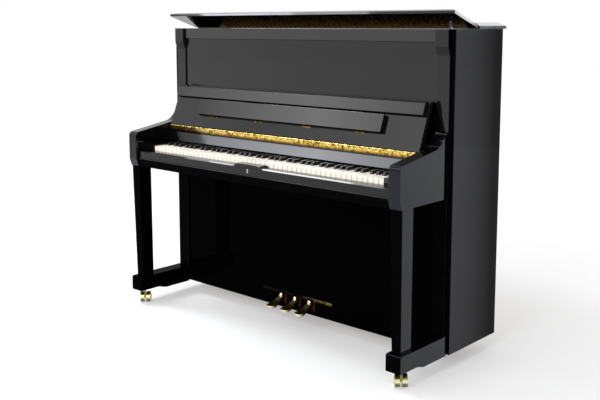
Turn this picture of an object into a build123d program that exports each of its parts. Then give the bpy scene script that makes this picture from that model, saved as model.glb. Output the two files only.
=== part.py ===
from build123d import *
import os
from math import cos, radians, sin, tan

# Upright piano, 88 notes, in millimetres. +Z up, the player sits on the -Y side, bass on the -X side.
# The origin is on the floor, under the middle of the overall width and depth.

# Case
case_top = 1210.0  # top edge of the side panels
case_bottom = 57.0
side_front = -19.0  # y of the side panels' front edges, which most depths below start from
side_depth = 316.0
side_thickness = 32.0
stile_width = 53.0
stile_proud = 8.0  # the stiles stand this far in front of the side panels
stile_depth = 30.0
corbel_proud = 12.0
corbel_height = 60.0
corbel_slant = 30.0
panel_thickness = 18.0
panel_seam = 1.0

# Arms, legs and toe blocks
arm_reveal = 18.0  # the side panels stand this far outside the arms
arm_width = 48.0
arm_reach = 287.0
arm_front_bottom_rise = 29.0  # rises count from the underside of the key bed
arm_front_rise = 145.0
arm_slope_reach = 86.0
arm_slope_rise = 178.0
arm_top_rise = 234.0
arm_scroll_share = 0.36
arm_nose_radius = 20.0
arm_rebate_depth = 12.0
arm_rebate_height = 32.0
capital_setback = 10.0
leg_top_reach = 272.0
leg_top_depth = 62.0
leg_foot_reach = 262.0
leg_foot_depth = 58.0
leg_foot_width = 38.0
toe_reach = 282.0
toe_width = 62.0
toe_overhang = 9.0  # the toe blocks stand this far outside the arms
toe_top = 126.0
toe_nose_bottom = 65.0
toe_heel_bottom = 54.0
toe_ramp_reach = 183.0
toe_ramp_length = 38.0
toe_rounding = 8.0

# Key bed, key slip and key blocks
bed_bottom = 622.0
bed_thickness = 35.0
bed_reach = 279.0
bed_ahead = 16.0  # of the strings, as are the depths of the keys' tails, the rods and the action
slip_reach = 275.0
slip_depth = 39.0
slip_height = 33.0
slip_chamfer = 5.0
hump_length = 130.0
hump_height = 8.0
hump_slope = 12.0
block_width = 56.44  # the keyboard, these blocks and the arms set the width of the case
block_height = 57.0
lock_width = 8.0
lock_height = 16.0
lock_proud = 1.5

# Keys
white_count = 52
note_count = 88
key_pitch = 23.56
key_gap = 1.0
key_reach = 231.0
key_rise = 51.5  # tops of the naturals, over the key bed
key_height = 22.0
head_length = 51.0
tail_ahead = 40.0
sharp_length = 97.0
sharp_width = 11.0
sharp_top_width = 9.0
sharp_rise = 12.0
sharp_nose = 6.0
block_gap = 1.0
balance_reach = 0.0  # the whites rock on a line this far in front of the side panels' front edges
rail_gap = 1.0
front_rail_gap = 14.0
key_rail_width = 30.0

# Nameboard, fallboard and music shelf
nameboard_front = 103.0
nameboard_thickness = 20.0
nameboard_slope = 21.0  # its lower part leans this far towards the player
nameboard_bottom_rise = 15.5  # rises from here on count from the tops of the naturals
nameboard_bend_rise = 51.0
nameboard_top_rise = 69.5
pin_reach = 102.0  # fallboard hinge pin, in front of the side panels' front edges
pin_rise = 77.5
fallboard_lean = 21.0  # degrees back from upright when it is open
fallboard_length = 188.0
fallboard_start = 5.0
fallboard_thickness = 18.0
fallboard_clearance = 9.0  # at each end, to the arms
lip_start = 133.0
lip_length = 43.0
lip_proud = 17.0
lip_inset = 8.0
hinge_leaf = 20.0
leaf_thickness = 1.4
hinge_radius = 3.0
shelf_start = 59.0
shelf_length = 66.0
shelf_width = 980.0
shelf_thickness = 16.0
shelf_gap = 1.0
shelf_pin = 55.0  # distance up the fallboard to the shelf's hinge pin
shelf_hinge_length = 44.0
shelf_hinge_pitch = 262.0
shelf_hinge_radius = 2.2
shelf_leaf = 5.0

# Upper case
top_rail_height = 44.0
top_rail_proud = 10.0
top_rail_thickness = 24.0
upper_panel_proud = 2.0
upper_panel_rise = 91.5

# Lid
lid_end_overhang = 8.0
lid_rear_overhang = 9.0
lid_front_overhang = 27.5
lid_pin_depth = 134.0  # lid hinge pin, behind the side panels' front edges
lid_thickness = 23.0
lid_clearance = 1.0
lid_opening = 18.5  # degrees that the flap stands open at rest
lid_gap = 3.5
lid_hinge_radius = 2.5
lid_leaf = 17.0
bevel_width = 22.0
bevel_height = 12.0
prop_inset = 46.0  # from the outside of the case to the prop's middle
prop_depth = 40.0
prop_length = 62.0
prop_width = 12.0
prop_thickness = 8.0
prop_gap = 0.6

# Lower case
rail_height = 75.0
rail_thickness = 22.0
bottom_board_thickness = 22.0

# Pedals
pedal_spacing = 78.0
pedal_offset = 1.0
pedal_reach = 88.0
pedal_pivot_depth = 70.0
pedal_pivot_height = 103.0
pedal_thickness = 9.0
pedal_drop = 21.0
pedal_neck = 27.0  # the pedals bend down within this distance of the bottom rail
pedal_bar_width = 22.0
pedal_toe_width = 42.0
pedal_toe_length = 66.0
pedal_slot_width = 32.0
pedal_slot_bottom = 72.0
pedal_slot_top = 123.0
pedal_plate_width = 380.0
pedal_plate_bottom = 117.0
pedal_plate_top = 128.0
pedal_plate_thickness = 2.0
rod_ahead = 24.0
rod_diameter = 10.0
rod_rise = 51.5
rod_clearance = 3.0
rod_lost_motion = 1.0
fulcrum_width = 40.0
fulcrum_base = 30.0
fulcrum_crest = 3.0
fulcrum_gap = 0.5

# Casters
wheel_gap = 1.5  # between the wheels and the rear casters' necks
wheel_width = 18.0
wheel_spread = 8.0
axle_diameter = 6.0
bore_clearance = 0.3
neck_diameter = 15.0
neck_height = 6.0
blade_thickness = 5.0
caster_plate_diameter = 46.0
caster_plate_thickness = 3.0
caster_trail = 9.0
caster_gap = 0.5
caster_turn = 42.0  # degrees from straight ahead, as they were left after a push
front_caster_reach = 235.0
rear_caster_ahead = 86.0  # of the rear edges of the side panels
rear_caster_inset = 136.0

# Back, soundboard, plate and strings
post_count = 5
post_width = 38.0
post_depth = 58.0
post_top_gap = 2.0
pin_block_height = 123.0
pin_block_thickness = 44.0
bottom_beam_height = 100.0
rib_count = 9
rib_width = 24.0
rib_depth = 20.0
rib_gap = 3.0
soundboard_thickness = 9.0
soundboard_edge = 14.0
plate_thickness = 12.0
plate_edge = 12.0
plate_rim = 46.0
plate_bottom = 92.0
plate_field = 136.0
bar_height = 14.0
string_standoff = 12.0  # strings in front of the plate
string_width = 1.6
string_rake = 7.0
bass_lift = 3.0  # the bass strings cross this far in front of the treble
strike_rise = 254.5
treble_shortest = 52.0
treble_longest = 830.0
treble_growth = 1.87
bass_count = 26
bass_rim_gap = 81.5  # from the plate's lower rim up to the lower ends of the bass strings
bass_tilt = 18.0
bridge_width = 26.0

# Action
action_rail_ahead = 40.0
action_rail_thickness = 10.0
action_rail_rise = 91.5
action_rail_height = 22.0
action_post_width = 14.0
action_post_rise = 357.5
action_post_gap = 14.0
rest_rail_ahead = 100.0
rest_rail_thickness = 10.0
rest_rail_rise = 189.5
rest_rail_height = 22.0
part_width = 9.0  # hammers, whippens and dampers, across the keyboard
whippen_ahead = 48.0
whippen_rise = 76.5
whippen_reach = 70.0
heel_ahead = 92.0
heel_length = 9.0
heel_gap = 0.6
butt_ahead = 54.0
butt_rise = 129.5
hammer_length = 125.0
hammer_tip = 52.0
hammer_lean = 20.6
damper_count = 66
damper_ahead = 22.0
damper_rise = 86.5
damper_head_rise = 171.5
damper_head_height = 26.0
damper_gap = 0.6
muffler_rise = 303.5
muffler_height = 36.0
muffler_thickness = 6.0
muffler_ahead = 22.0

# Places that follow from the sizes above
keyboard_end = white_count * key_pitch / 2
arm_in = keyboard_end + block_gap + block_width
arm_out = arm_in + arm_width
side_out = arm_out + arm_reveal
side_in = side_out - side_thickness
side_rear = side_front + side_depth
stile_in = arm_out - stile_width
stile_face = side_front - stile_proud
stile_back = stile_face + stile_depth
bed_top = bed_bottom + bed_thickness
arm_front_bottom = bed_bottom + arm_front_bottom_rise
arm_front_top = bed_bottom + arm_front_rise
arm_slope_top = bed_bottom + arm_slope_rise
arm_top = bed_bottom + arm_top_rise
slip_front = side_front - slip_reach
slip_rear = slip_front + slip_depth
key_front = side_front - key_reach
key_top = bed_top + key_rise
key_bottom = key_top - key_height
head_rear = key_front + head_length
balance_line = side_front - balance_reach
rail_top = case_bottom + rail_height
lid_reach = side_out + lid_end_overhang
lid_pin_y = side_front + lid_pin_depth
lid_pin_z = case_top + lid_thickness
post_front = side_rear - post_depth
pin_block_front = post_front - pin_block_thickness
soundboard_back = post_front - rib_gap - rib_depth
soundboard_front = soundboard_back - soundboard_thickness
plate_front = pin_block_front - plate_thickness
string_y = plate_front - string_standoff
tail_end = string_y - tail_ahead
bed_rear = string_y - bed_ahead
rod_y = string_y - rod_ahead
back_top = case_top - post_top_gap
pin_block_bottom = back_top - pin_block_height
board_top = case_bottom + bottom_board_thickness
treble_y = string_y + bass_lift
pin_height = key_top + pin_rise
strike_height = key_top + strike_rise
action_rail_bottom = key_top + action_rail_rise
rest_rail_bottom = key_top + rest_rail_rise
whippen_height = key_top + whippen_rise
damper_head_bottom = key_top + damper_head_rise
field_bottom = back_top - plate_edge - plate_field
bass_low = plate_bottom + plate_rim + bass_rim_gap
bass_length = (strike_height - bass_low) / (cos(radians(bass_tilt)) - 1 / 8)
pedal_xs = [pedal_offset + step * pedal_spacing for step in (-1, 0, 1)]
os.makedirs("parts", exist_ok=True)


def keep(piece, name):
    """Label a finished piece and write its file."""
    piece.part.label = name
    export_step(piece.part, f"parts/{name}.step")


def side_plane(x):
    """Plane across the width at x, drawn in (y, z)."""
    return Plane.YZ.offset(x)


def front_plane(y):
    """Plane facing the player at depth y, drawn in (x, z), with its normal towards the player."""
    return Plane.XZ.offset(-y)


def board(x_reach, y_range, z_range):
    """Plain board, centred on x = 0, in the current part."""
    with Locations((0, sum(y_range) / 2, sum(z_range) / 2)):
        Box(2 * x_reach, y_range[1] - y_range[0], z_range[1] - z_range[0])


# Side panels, stiles with their corbels, arms, legs and toe blocks, one of each on either hand
for hand, sign in (("left", -1), ("right", 1)):
    with BuildPart() as side_panel:
        with BuildSketch(side_plane(min(sign * side_in, sign * side_out))):
            with Locations((side_front + side_depth / 2, (case_bottom + case_top) / 2)):
                Rectangle(side_depth, case_top - case_bottom)
        extrude(amount=side_thickness)
    keep(side_panel, f"{hand}_side_panel")

    with BuildPart() as stile:
        with BuildSketch(Plane.XY.offset(case_bottom)):
            with BuildLine():
                Polyline(
                    (sign * stile_in, stile_face),
                    (sign * arm_out, stile_face),
                    (sign * arm_out, side_front),
                    (sign * side_in, side_front),
                    (sign * side_in, stile_back),
                    (sign * stile_in, stile_back),
                    close=True,
                )
            make_face()
        extrude(amount=case_top - case_bottom)
        with BuildSketch(side_plane(min(sign * stile_in, sign * arm_out))):
            with BuildLine():
                Polyline(
                    (stile_face, case_top),
                    (stile_face - corbel_proud, case_top),
                    (stile_face - corbel_proud, case_top - corbel_height),
                    (stile_face, case_top - corbel_height - corbel_slant),
                    close=True,
                )
            make_face()
        extrude(amount=stile_width)
    keep(stile, f"{hand}_stile")

    with BuildPart() as arm:
        with BuildSketch(side_plane(min(sign * arm_in, sign * arm_out))):
            arm_tip = side_front - arm_reach
            slope_start = (side_front - arm_slope_reach, arm_slope_top)
            scroll_middle = (stile_face - arm_scroll_share * arm_slope_reach, (arm_slope_top + arm_top) / 2)
            with BuildLine():
                Polyline(
                    slope_start,
                    (arm_tip, arm_front_top),
                    (arm_tip, arm_front_bottom),
                    (arm_tip + capital_setback, bed_bottom),
                    (stile_face - arm_rebate_depth, bed_bottom),
                    (stile_face - arm_rebate_depth, bed_bottom + arm_rebate_height),
                    (stile_face, bed_bottom + arm_rebate_height),
                    (stile_face, arm_top),
                )
                rise = (arm_tip - slope_start[0], arm_front_top - arm_slope_top)
                hollow = TangentArc(slope_start, scroll_middle, tangent=(-rise[0], -rise[1]))
                TangentArc(scroll_middle, (stile_face, arm_top), tangent=hollow % 1)
            make_face()
            fillet(vertices().sort_by(Axis.X)[:2].sort_by(Axis.Y)[-1], arm_nose_radius)
        extrude(amount=arm_width)
    keep(arm, f"{hand}_arm")

    arm_middle = sign * (arm_in + arm_out) / 2
    with BuildPart() as leg:
        with BuildSketch(Plane.XY.offset(toe_top)):
            with Locations((arm_middle, side_front - leg_foot_reach + leg_foot_depth / 2)):
                Rectangle(leg_foot_width, leg_foot_depth)
        with BuildSketch(Plane.XY.offset(bed_bottom)):
            with Locations((arm_middle, side_front - leg_top_reach + leg_top_depth / 2)):
                Rectangle(arm_width, leg_top_depth)
        loft()
    keep(leg, f"{hand}_leg")

    toe_out = arm_out + toe_overhang
    with BuildPart() as toe_block:
        with BuildSketch(side_plane(min(sign * toe_out, sign * (toe_out - toe_width)))):
            toe_tip = side_front - toe_reach
            ramp = side_front - toe_ramp_reach
            with BuildLine():
                Polyline(
                    (stile_face, toe_heel_bottom),
                    (stile_face, toe_top),
                    (toe_tip, toe_top),
                    (toe_tip, toe_nose_bottom),
                    (ramp, toe_nose_bottom),
                    (ramp + toe_ramp_length, toe_heel_bottom),
                    close=True,
                )
            make_face()
        extrude(amount=toe_width)
        front_face = toe_block.faces().sort_by(Axis.Y)[0]
        fillet(front_face.edges().filter_by(Axis.X).sort_by(Axis.Z)[-1], toe_rounding)
    keep(toe_block, f"{hand}_toe_block")

# Key bed, notched round the stiles and let in for the pedal rods
with BuildPart() as key_bed:
    board(arm_in, (side_front - bed_reach, stile_face), (bed_bottom, bed_top))
    board(stile_in, (stile_face, stile_back), (bed_bottom, bed_top))
    board(side_in, (stile_back, bed_rear), (bed_bottom, bed_top))
    with BuildSketch(Plane.XY.offset(bed_bottom)):
        notch_front = rod_y - rod_diameter / 2 - rod_clearance
        notch_depth = bed_rear - notch_front
        with Locations(*[(x, notch_front + notch_depth / 2) for x in pedal_xs]):
            Rectangle(rod_diameter + 2 * rod_clearance, notch_depth)
    extrude(amount=bed_thickness, mode=Mode.SUBTRACT)
keep(key_bed, "key_bed")

# Key slip with the raised hump for the lock
with BuildPart() as key_slip:
    slip_top = bed_top + slip_height
    board(arm_in, (slip_front, slip_rear), (bed_top, slip_top))
    front_top = key_slip.edges().filter_by(Axis.X).group_by(Axis.Z)[-1].sort_by(Axis.Y)[0]
    chamfer(front_top, slip_chamfer)
    with BuildSketch(front_plane(slip_rear)):
        with BuildLine():
            Polyline(
                (-hump_length / 2 - hump_slope, slip_top),
                (hump_length / 2 + hump_slope, slip_top),
                (hump_length / 2, slip_top + hump_height),
                (-hump_length / 2, slip_top + hump_height),
                close=True,
            )
        make_face()
    extrude(amount=slip_depth - slip_chamfer)
keep(key_slip, "key_slip")

# Lock plate on the key slip, with its keyhole
with BuildPart() as lock:
    with BuildSketch(front_plane(slip_front)):
        with Locations((0, bed_top + slip_height / 2)):
            SlotOverall(lock_height, lock_width, rotation=90)
            Circle(lock_width / 6, mode=Mode.SUBTRACT)
    extrude(amount=lock_proud)
keep(lock, "lock")

# Key blocks, which close the keyboard between the end keys and the arms
with BuildPart() as key_blocks:
    block_width = arm_in - keyboard_end - block_gap
    block_rear = side_front - nameboard_front
    with BuildSketch(Plane.XY.offset(bed_top)):
        for sign in (-1, 1):
            with Locations((sign * (arm_in - block_width / 2), (slip_rear + block_rear) / 2)):
                Rectangle(block_width, block_rear - slip_rear)
    extrude(amount=block_height)
keep(key_blocks, "key_blocks")


# Keys. Each octave shares its width out in two groups, C to E and F to B, so that the tails and
# everything behind them are nearly evenly spaced while the white heads stay equal.
def tone(note):
    """Semitone above C, for notes counted from 1 at the bottom A."""
    return (note + 8) % 12


def slot(note):
    """Left and right x of a note's share of the keyboard at the tails."""
    octave_left = (7 * ((note + 8) // 12) - 5 - white_count / 2) * key_pitch
    if tone(note) < 5:
        width = 3 * key_pitch / 5
        left = octave_left + tone(note) * width
    else:
        width = 4 * key_pitch / 7
        left = octave_left + 3 * key_pitch + (tone(note) - 5) * width
    return left, left + width


notes = range(1, note_count + 1)
white_notes = [note for note in notes if tone(note) in (0, 2, 4, 5, 7, 9, 11)]
black_notes = [note for note in notes if note not in white_notes]
note_x = {note: sum(slot(note)) / 2 for note in notes}

with BuildPart() as white_keys:
    with BuildSketch(Plane.XY.offset(key_bottom)):
        for number, note in enumerate(white_notes):
            head_left = (number - white_count / 2) * key_pitch + key_gap / 2
            head_right = head_left + key_pitch - key_gap
            tail_left = slot(note)[0] + key_gap / 2
            tail_right = min(slot(note)[1] - key_gap / 2, head_right)
            if note == note_count:
                tail_right = head_right
            with Locations(((head_left + head_right) / 2, (key_front + head_rear) / 2)):
                Rectangle(head_right - head_left, head_rear - key_front)
            with Locations(((tail_left + tail_right) / 2, (head_rear + tail_end) / 2)):
                Rectangle(tail_right - tail_left, tail_end - head_rear)
    extrude(amount=key_height)
keep(white_keys, "white_keys")

with BuildPart() as sharp:
    with BuildSketch(Plane.XY.offset(key_top)):
        with Locations((0, sharp_length / 2)):
            Rectangle(sharp_width, sharp_length)
    with BuildSketch(Plane.XY.offset(key_top + sharp_rise)):
        with Locations((0, (sharp_length + sharp_nose) / 2)):
            Rectangle(sharp_top_width, sharp_length - sharp_nose)
    loft()

with BuildPart() as black_keys:
    with BuildSketch(Plane.XY.offset(key_bottom)):
        for note in black_notes:
            with Locations((note_x[note], (head_rear + key_gap + tail_end) / 2)):
                Rectangle(sharp_width, tail_end - head_rear - key_gap)
    extrude(amount=key_height)
    with Locations(*[(note_x[note], head_rear + key_gap, 0) for note in black_notes]):
        add(sharp.part)
keep(black_keys, "black_keys")

# Key frame: front rail, balance rail and back rail, tied by cross pieces
with BuildPart() as key_frame:
    frame_reach = keyboard_end + block_gap / 2
    rail_y = [slip_rear + key_rail_width / 2 + rail_gap, balance_line, tail_end - key_rail_width / 2]
    rail_tops = [key_bottom - front_rail_gap, key_bottom - rail_gap, key_bottom - rail_gap]
    for middle, top in zip(rail_y, rail_tops):
        board(frame_reach, (middle - key_rail_width / 2, middle + key_rail_width / 2), (bed_top, top))
    with BuildSketch(Plane.XY.offset(bed_top)):
        with Locations((0, (rail_y[0] + rail_y[2]) / 2)):
            with GridLocations((2 * frame_reach - key_rail_width) / 3, 1, 4, 1):
                Rectangle(key_rail_width, rail_y[2] - rail_y[0])
    extrude(amount=(key_bottom - front_rail_gap - bed_top) / 2)
keep(key_frame, "key_frame")

# Nameboard, the strip behind the keys: its upright part carries the fallboard hinge, and its lower
# part leans towards the player, over the ends of the sharps
with BuildPart() as nameboard:
    name_y = side_front - nameboard_front
    name_rear = name_y + nameboard_thickness
    with BuildSketch(side_plane(-arm_in)):
        with BuildLine():
            Polyline(
                (name_y, key_top + nameboard_top_rise),
                (name_y, key_top + nameboard_bend_rise),
                (name_y - nameboard_slope, key_top + nameboard_bottom_rise),
                (name_rear - nameboard_slope, key_top + nameboard_bottom_rise),
                (name_rear, key_top + nameboard_bend_rise),
                (name_rear, key_top + nameboard_top_rise),
                close=True,
            )
        make_face()
    extrude(amount=2 * arm_in)
keep(nameboard, "nameboard")

# Fallboard, modelled open. Its plane starts at the hinge pin: u along the width, v up the board,
# and the normal towards the player, so the board itself lies at negative w.
lean = radians(fallboard_lean)
fallboard_plane = Plane(
    origin=(0, side_front - pin_reach, pin_height),
    x_dir=(1, 0, 0),
    z_dir=(0, -cos(lean), sin(lean)),
)
fallboard_half = arm_in - fallboard_clearance

with BuildPart() as fallboard_panel:
    with BuildSketch(fallboard_plane.offset(-fallboard_thickness)):
        with Locations((0, (fallboard_start + fallboard_length) / 2)):
            Rectangle(2 * fallboard_half, fallboard_length - fallboard_start)
    extrude(amount=fallboard_thickness)
keep(fallboard_panel, "fallboard_panel")

# Lip along the fallboard's free edge, bevelled back to the panel
fallboard_profile = Plane(
    origin=(-fallboard_half + lip_inset, side_front - pin_reach, pin_height),
    x_dir=(0, -cos(lean), sin(lean)),
    z_dir=(1, 0, 0),
)
with BuildPart() as fallboard_lip:
    with BuildSketch(fallboard_profile):
        with BuildLine():
            Polyline(
                (0, -lip_start),
                (lip_proud, -lip_start),
                (lip_proud, -lip_start - lip_length),
                (0, -fallboard_length),
                close=True,
            )
        make_face()
    extrude(amount=2 * (fallboard_half - lip_inset))
keep(fallboard_lip, "fallboard_lip")

# Piano hinge of the fallboard: the knuckle round the pin and the leaf that hangs on the nameboard
with BuildPart() as fallboard_hinge:
    with BuildSketch(side_plane(-fallboard_half)):
        pin_y = side_front - pin_reach
        with Locations((pin_y, pin_height)):
            Circle(hinge_radius)
        with Locations((name_y - leaf_thickness / 2, pin_height - hinge_leaf / 2)):
            Rectangle(leaf_thickness, hinge_leaf)
    extrude(amount=2 * fallboard_half)
keep(fallboard_hinge, "fallboard_hinge")

# Music shelf, folded against the fallboard, and its four hinges
with BuildPart() as music_shelf:
    with BuildSketch(fallboard_plane.offset(shelf_gap)):
        with Locations((0, shelf_start + shelf_length / 2)):
            Rectangle(shelf_width, shelf_length)
    extrude(amount=shelf_thickness)
keep(music_shelf, "music_shelf")

with BuildPart() as shelf_hinges:
    with BuildSketch(fallboard_plane):
        with Locations((0, shelf_pin - shelf_leaf / 2)):
            with GridLocations(shelf_hinge_pitch, 1, 4, 1):
                Rectangle(shelf_hinge_length, shelf_leaf)
    extrude(amount=leaf_thickness)
    with BuildSketch(side_plane(-shelf_hinge_length / 2)):
        with Locations(
            (
                side_front - pin_reach + shelf_pin * sin(lean) - shelf_hinge_radius * cos(lean),
                pin_height + shelf_pin * cos(lean) + shelf_hinge_radius * sin(lean),
            )
        ):
            Circle(shelf_hinge_radius)
    knuckle = extrude(amount=shelf_hinge_length, mode=Mode.PRIVATE)
    with GridLocations(shelf_hinge_pitch, 1, 4, 1):
        add(knuckle)
keep(shelf_hinges, "shelf_hinges")

# Upper panel and the rail above it
with BuildPart() as upper_panel:
    panel_face = side_front - upper_panel_proud
    rail_bottom = case_top - top_rail_height
    board(stile_in, (panel_face, panel_face + panel_thickness), (key_top + upper_panel_rise, rail_bottom - panel_seam))
keep(upper_panel, "upper_panel")

with BuildPart() as top_rail:
    rail_face = side_front - top_rail_proud
    board(stile_in, (rail_face, rail_face + top_rail_thickness), (rail_bottom, case_top))
keep(top_rail, "top_rail")

# Lid: the fixed rear section, bevelled on its outer edges
with BuildPart() as lid_rear:
    board(
        lid_reach,
        (lid_pin_y + lid_gap, side_rear + lid_rear_overhang),
        (case_top, case_top + lid_thickness),
    )
    lid_top = lid_rear.faces().sort_by(Axis.Z)[-1]
    ends = lid_top.edges().filter_by(Axis.Y)
    rear_edge = lid_top.edges().filter_by(Axis.X).sort_by(Axis.Y)[-1]
    chamfer(ends + [rear_edge], length=bevel_width, length2=bevel_height, reference=lid_top)
keep(lid_rear, "lid_rear")

# Lid flap, modelled open. Its plane lies in the flap's top face, with v towards the back.
opening = radians(lid_opening)
flap_plane = Plane(origin=(0, lid_pin_y, lid_pin_z), x_dir=(1, 0, 0), z_dir=(0, sin(opening), cos(opening)))
flap_length = lid_pin_depth + lid_front_overhang

with BuildPart() as lid_flap:
    with BuildSketch(flap_plane.offset(lid_clearance - lid_thickness)):
        with Locations((0, -(flap_length + lid_gap) / 2)):
            Rectangle(2 * lid_reach, flap_length - lid_gap)
    extrude(amount=lid_thickness - lid_clearance)
    flap_top = lid_flap.faces().sort_by(Axis((0, 0, 0), tuple(flap_plane.z_dir)))[-1]
    front_edge = flap_top.edges().filter_by(Axis.X).sort_by(Axis.Y)[0]
    end_edges = flap_top.edges() - flap_top.edges().filter_by(Axis.X)
    chamfer(end_edges + [front_edge], length=bevel_width, length2=bevel_height, reference=flap_top)
keep(lid_flap, "lid_flap")

# Lid hinge: the knuckle along the pin and the leaf on the rear section's edge
with BuildPart() as lid_hinge:
    with BuildSketch(side_plane(-lid_reach + bevel_width)):
        with Locations((lid_pin_y, lid_pin_z)):
            Circle(lid_hinge_radius)
        leaf_y = lid_pin_y + (lid_gap + lid_hinge_radius / 2) / 2
        with Locations((leaf_y, lid_pin_z - lid_leaf / 2)):
            Rectangle(lid_gap - lid_hinge_radius / 2, lid_leaf)
    extrude(amount=2 * (lid_reach - bevel_width))
keep(lid_hinge, "lid_hinge")

# Prop, which hangs from the flap's underside inside the case
with BuildPart() as lid_prop:
    prop_y = side_front + prop_depth
    flap_under = lid_pin_z + (lid_pin_y - prop_y) * tan(opening) - (lid_thickness - lid_clearance) / cos(opening)
    prop_top = flap_under - prop_gap
    with BuildSketch(side_plane(side_out - prop_inset - prop_thickness / 2)):
        with Locations((prop_y, prop_top - prop_length / 2)):
            SlotOverall(prop_length, prop_width, rotation=90)
    extrude(amount=prop_thickness)
keep(lid_prop, "lid_prop")

# Lower case: bottom board, bottom rail with the pedal slots, and bottom panel
with BuildPart() as bottom_board:
    board(side_in, (max(stile_back, side_front + rail_thickness), post_front), (case_bottom, board_top))
    fulcrum_y = side_front + pedal_pivot_depth
    fulcrum_top = pedal_pivot_height - pedal_thickness / 2 - fulcrum_gap
    with BuildSketch(side_plane(-fulcrum_width / 2)):
        with BuildLine():
            Polyline(
                (fulcrum_y - fulcrum_base / 2, board_top),
                (fulcrum_y + fulcrum_base / 2, board_top),
                (fulcrum_y + fulcrum_crest / 2, fulcrum_top),
                (fulcrum_y - fulcrum_crest / 2, fulcrum_top),
                close=True,
            )
        make_face()
    fulcrum = extrude(amount=fulcrum_width, mode=Mode.PRIVATE)
    with Locations(*[(x, 0, 0) for x in pedal_xs]):
        add(fulcrum)
keep(bottom_board, "bottom_board")

with BuildPart() as bottom_rail:
    board(stile_in, (side_front, side_front + rail_thickness), (case_bottom, rail_top))
    with BuildSketch(front_plane(side_front + rail_thickness)):
        with Locations(*[(x, (pedal_slot_bottom + pedal_slot_top) / 2) for x in pedal_xs]):
            Rectangle(pedal_slot_width, pedal_slot_top - pedal_slot_bottom)
    extrude(amount=rail_thickness, mode=Mode.SUBTRACT)
keep(bottom_rail, "bottom_rail")

with BuildPart() as bottom_panel:
    board(stile_in, (side_front, side_front + panel_thickness), (rail_top + panel_seam, bed_bottom))
keep(bottom_panel, "bottom_panel")

# Brass plate round the upper halves of the pedal slots
with BuildPart() as pedal_plate:
    with BuildSketch(front_plane(side_front)):
        with Locations((pedal_offset, (pedal_plate_bottom + pedal_plate_top) / 2)):
            Rectangle(pedal_plate_width, pedal_plate_top - pedal_plate_bottom)
        with Locations(*[(x, (pedal_slot_bottom + pedal_slot_top) / 2) for x in pedal_xs]):
            Rectangle(pedal_slot_width, pedal_slot_top - pedal_slot_bottom, mode=Mode.SUBTRACT)
    extrude(amount=pedal_plate_thickness)
keep(pedal_plate, "pedal_plate")

# Pedals: a bent brass bar, seen from the side, cut to a narrow neck and a broad round toe from above
pedal_tip = side_front - pedal_reach
pedal_end = rod_y + rod_diameter
toe_height = pedal_pivot_height - pedal_drop
toe_start = pedal_tip + pedal_toe_length
neck_front = side_front - pedal_neck
rod_bottom = pedal_pivot_height + pedal_thickness / 2
with BuildPart() as pedal_shape:
    with BuildSketch(side_plane(-pedal_toe_width / 2)):
        with BuildLine():
            upper = Bezier(
                (side_front, rod_bottom),
                (neck_front, rod_bottom),
                (neck_front, toe_height),
                (pedal_tip, toe_height),
            )
            lower = Bezier(
                (side_front, rod_bottom - pedal_thickness),
                (neck_front, rod_bottom - pedal_thickness),
                (neck_front, toe_height - pedal_thickness),
                (pedal_tip, toe_height - pedal_thickness),
            )
            Polyline(upper @ 0, (pedal_end, rod_bottom), (pedal_end, rod_bottom - pedal_thickness), lower @ 0)
            Line(upper @ 1, lower @ 1)
        make_face()
    extrude(amount=pedal_toe_width)
    with BuildSketch(Plane.XY.offset(case_bottom)):
        with Locations((0, pedal_tip + pedal_toe_width / 2)):
            Circle(pedal_toe_width / 2)
        with Locations((0, toe_start)):
            Circle(pedal_bar_width / 2)
        make_hull()
        with Locations((0, (toe_start + pedal_end) / 2)):
            Rectangle(pedal_bar_width, pedal_end - toe_start)
    extrude(amount=rail_height, mode=Mode.INTERSECT)

for name, x in zip(("left_pedal", "middle_pedal", "right_pedal"), pedal_xs):
    with BuildPart() as pedal:
        with Locations((x, 0, 0)):
            add(pedal_shape.part)
    keep(pedal, name)

    with BuildPart() as pedal_rod:
        with BuildSketch(Plane.XY.offset(rod_bottom + rod_lost_motion)):
            with Locations((x, rod_y)):
                Circle(rod_diameter / 2)
        extrude(amount=key_top + rod_rise - rod_bottom - rod_lost_motion)
    keep(pedal_rod, f"{name}_rod")

# Casters: a turning fork with a thin blade and an axle, and a broad wheel on either side of the blade
rear_caster_x = side_out - rear_caster_inset
front_caster_x = arm_out + toe_overhang - toe_width / 2
caster_places = (
    ("front_left", -front_caster_x, side_front - front_caster_reach, toe_nose_bottom),
    ("front_right", front_caster_x, side_front - front_caster_reach, toe_nose_bottom),
    ("rear_left", -rear_caster_x, side_rear - rear_caster_ahead, case_bottom),
    ("rear_right", rear_caster_x, side_rear - rear_caster_ahead, case_bottom),
)
wheel_diameter = case_bottom - caster_gap - caster_plate_thickness - neck_height - wheel_gap
axle_height = wheel_diameter / 2
axle_length = wheel_spread + 2 * wheel_width
with BuildPart() as wheel_pair:
    for start in (-axle_length / 2, wheel_spread / 2):
        with BuildSketch(side_plane(start)):
            with Locations((caster_trail, axle_height)):
                Circle(wheel_diameter / 2)
                Circle(axle_diameter / 2 + bore_clearance, mode=Mode.SUBTRACT)
        extrude(amount=wheel_width)

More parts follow.
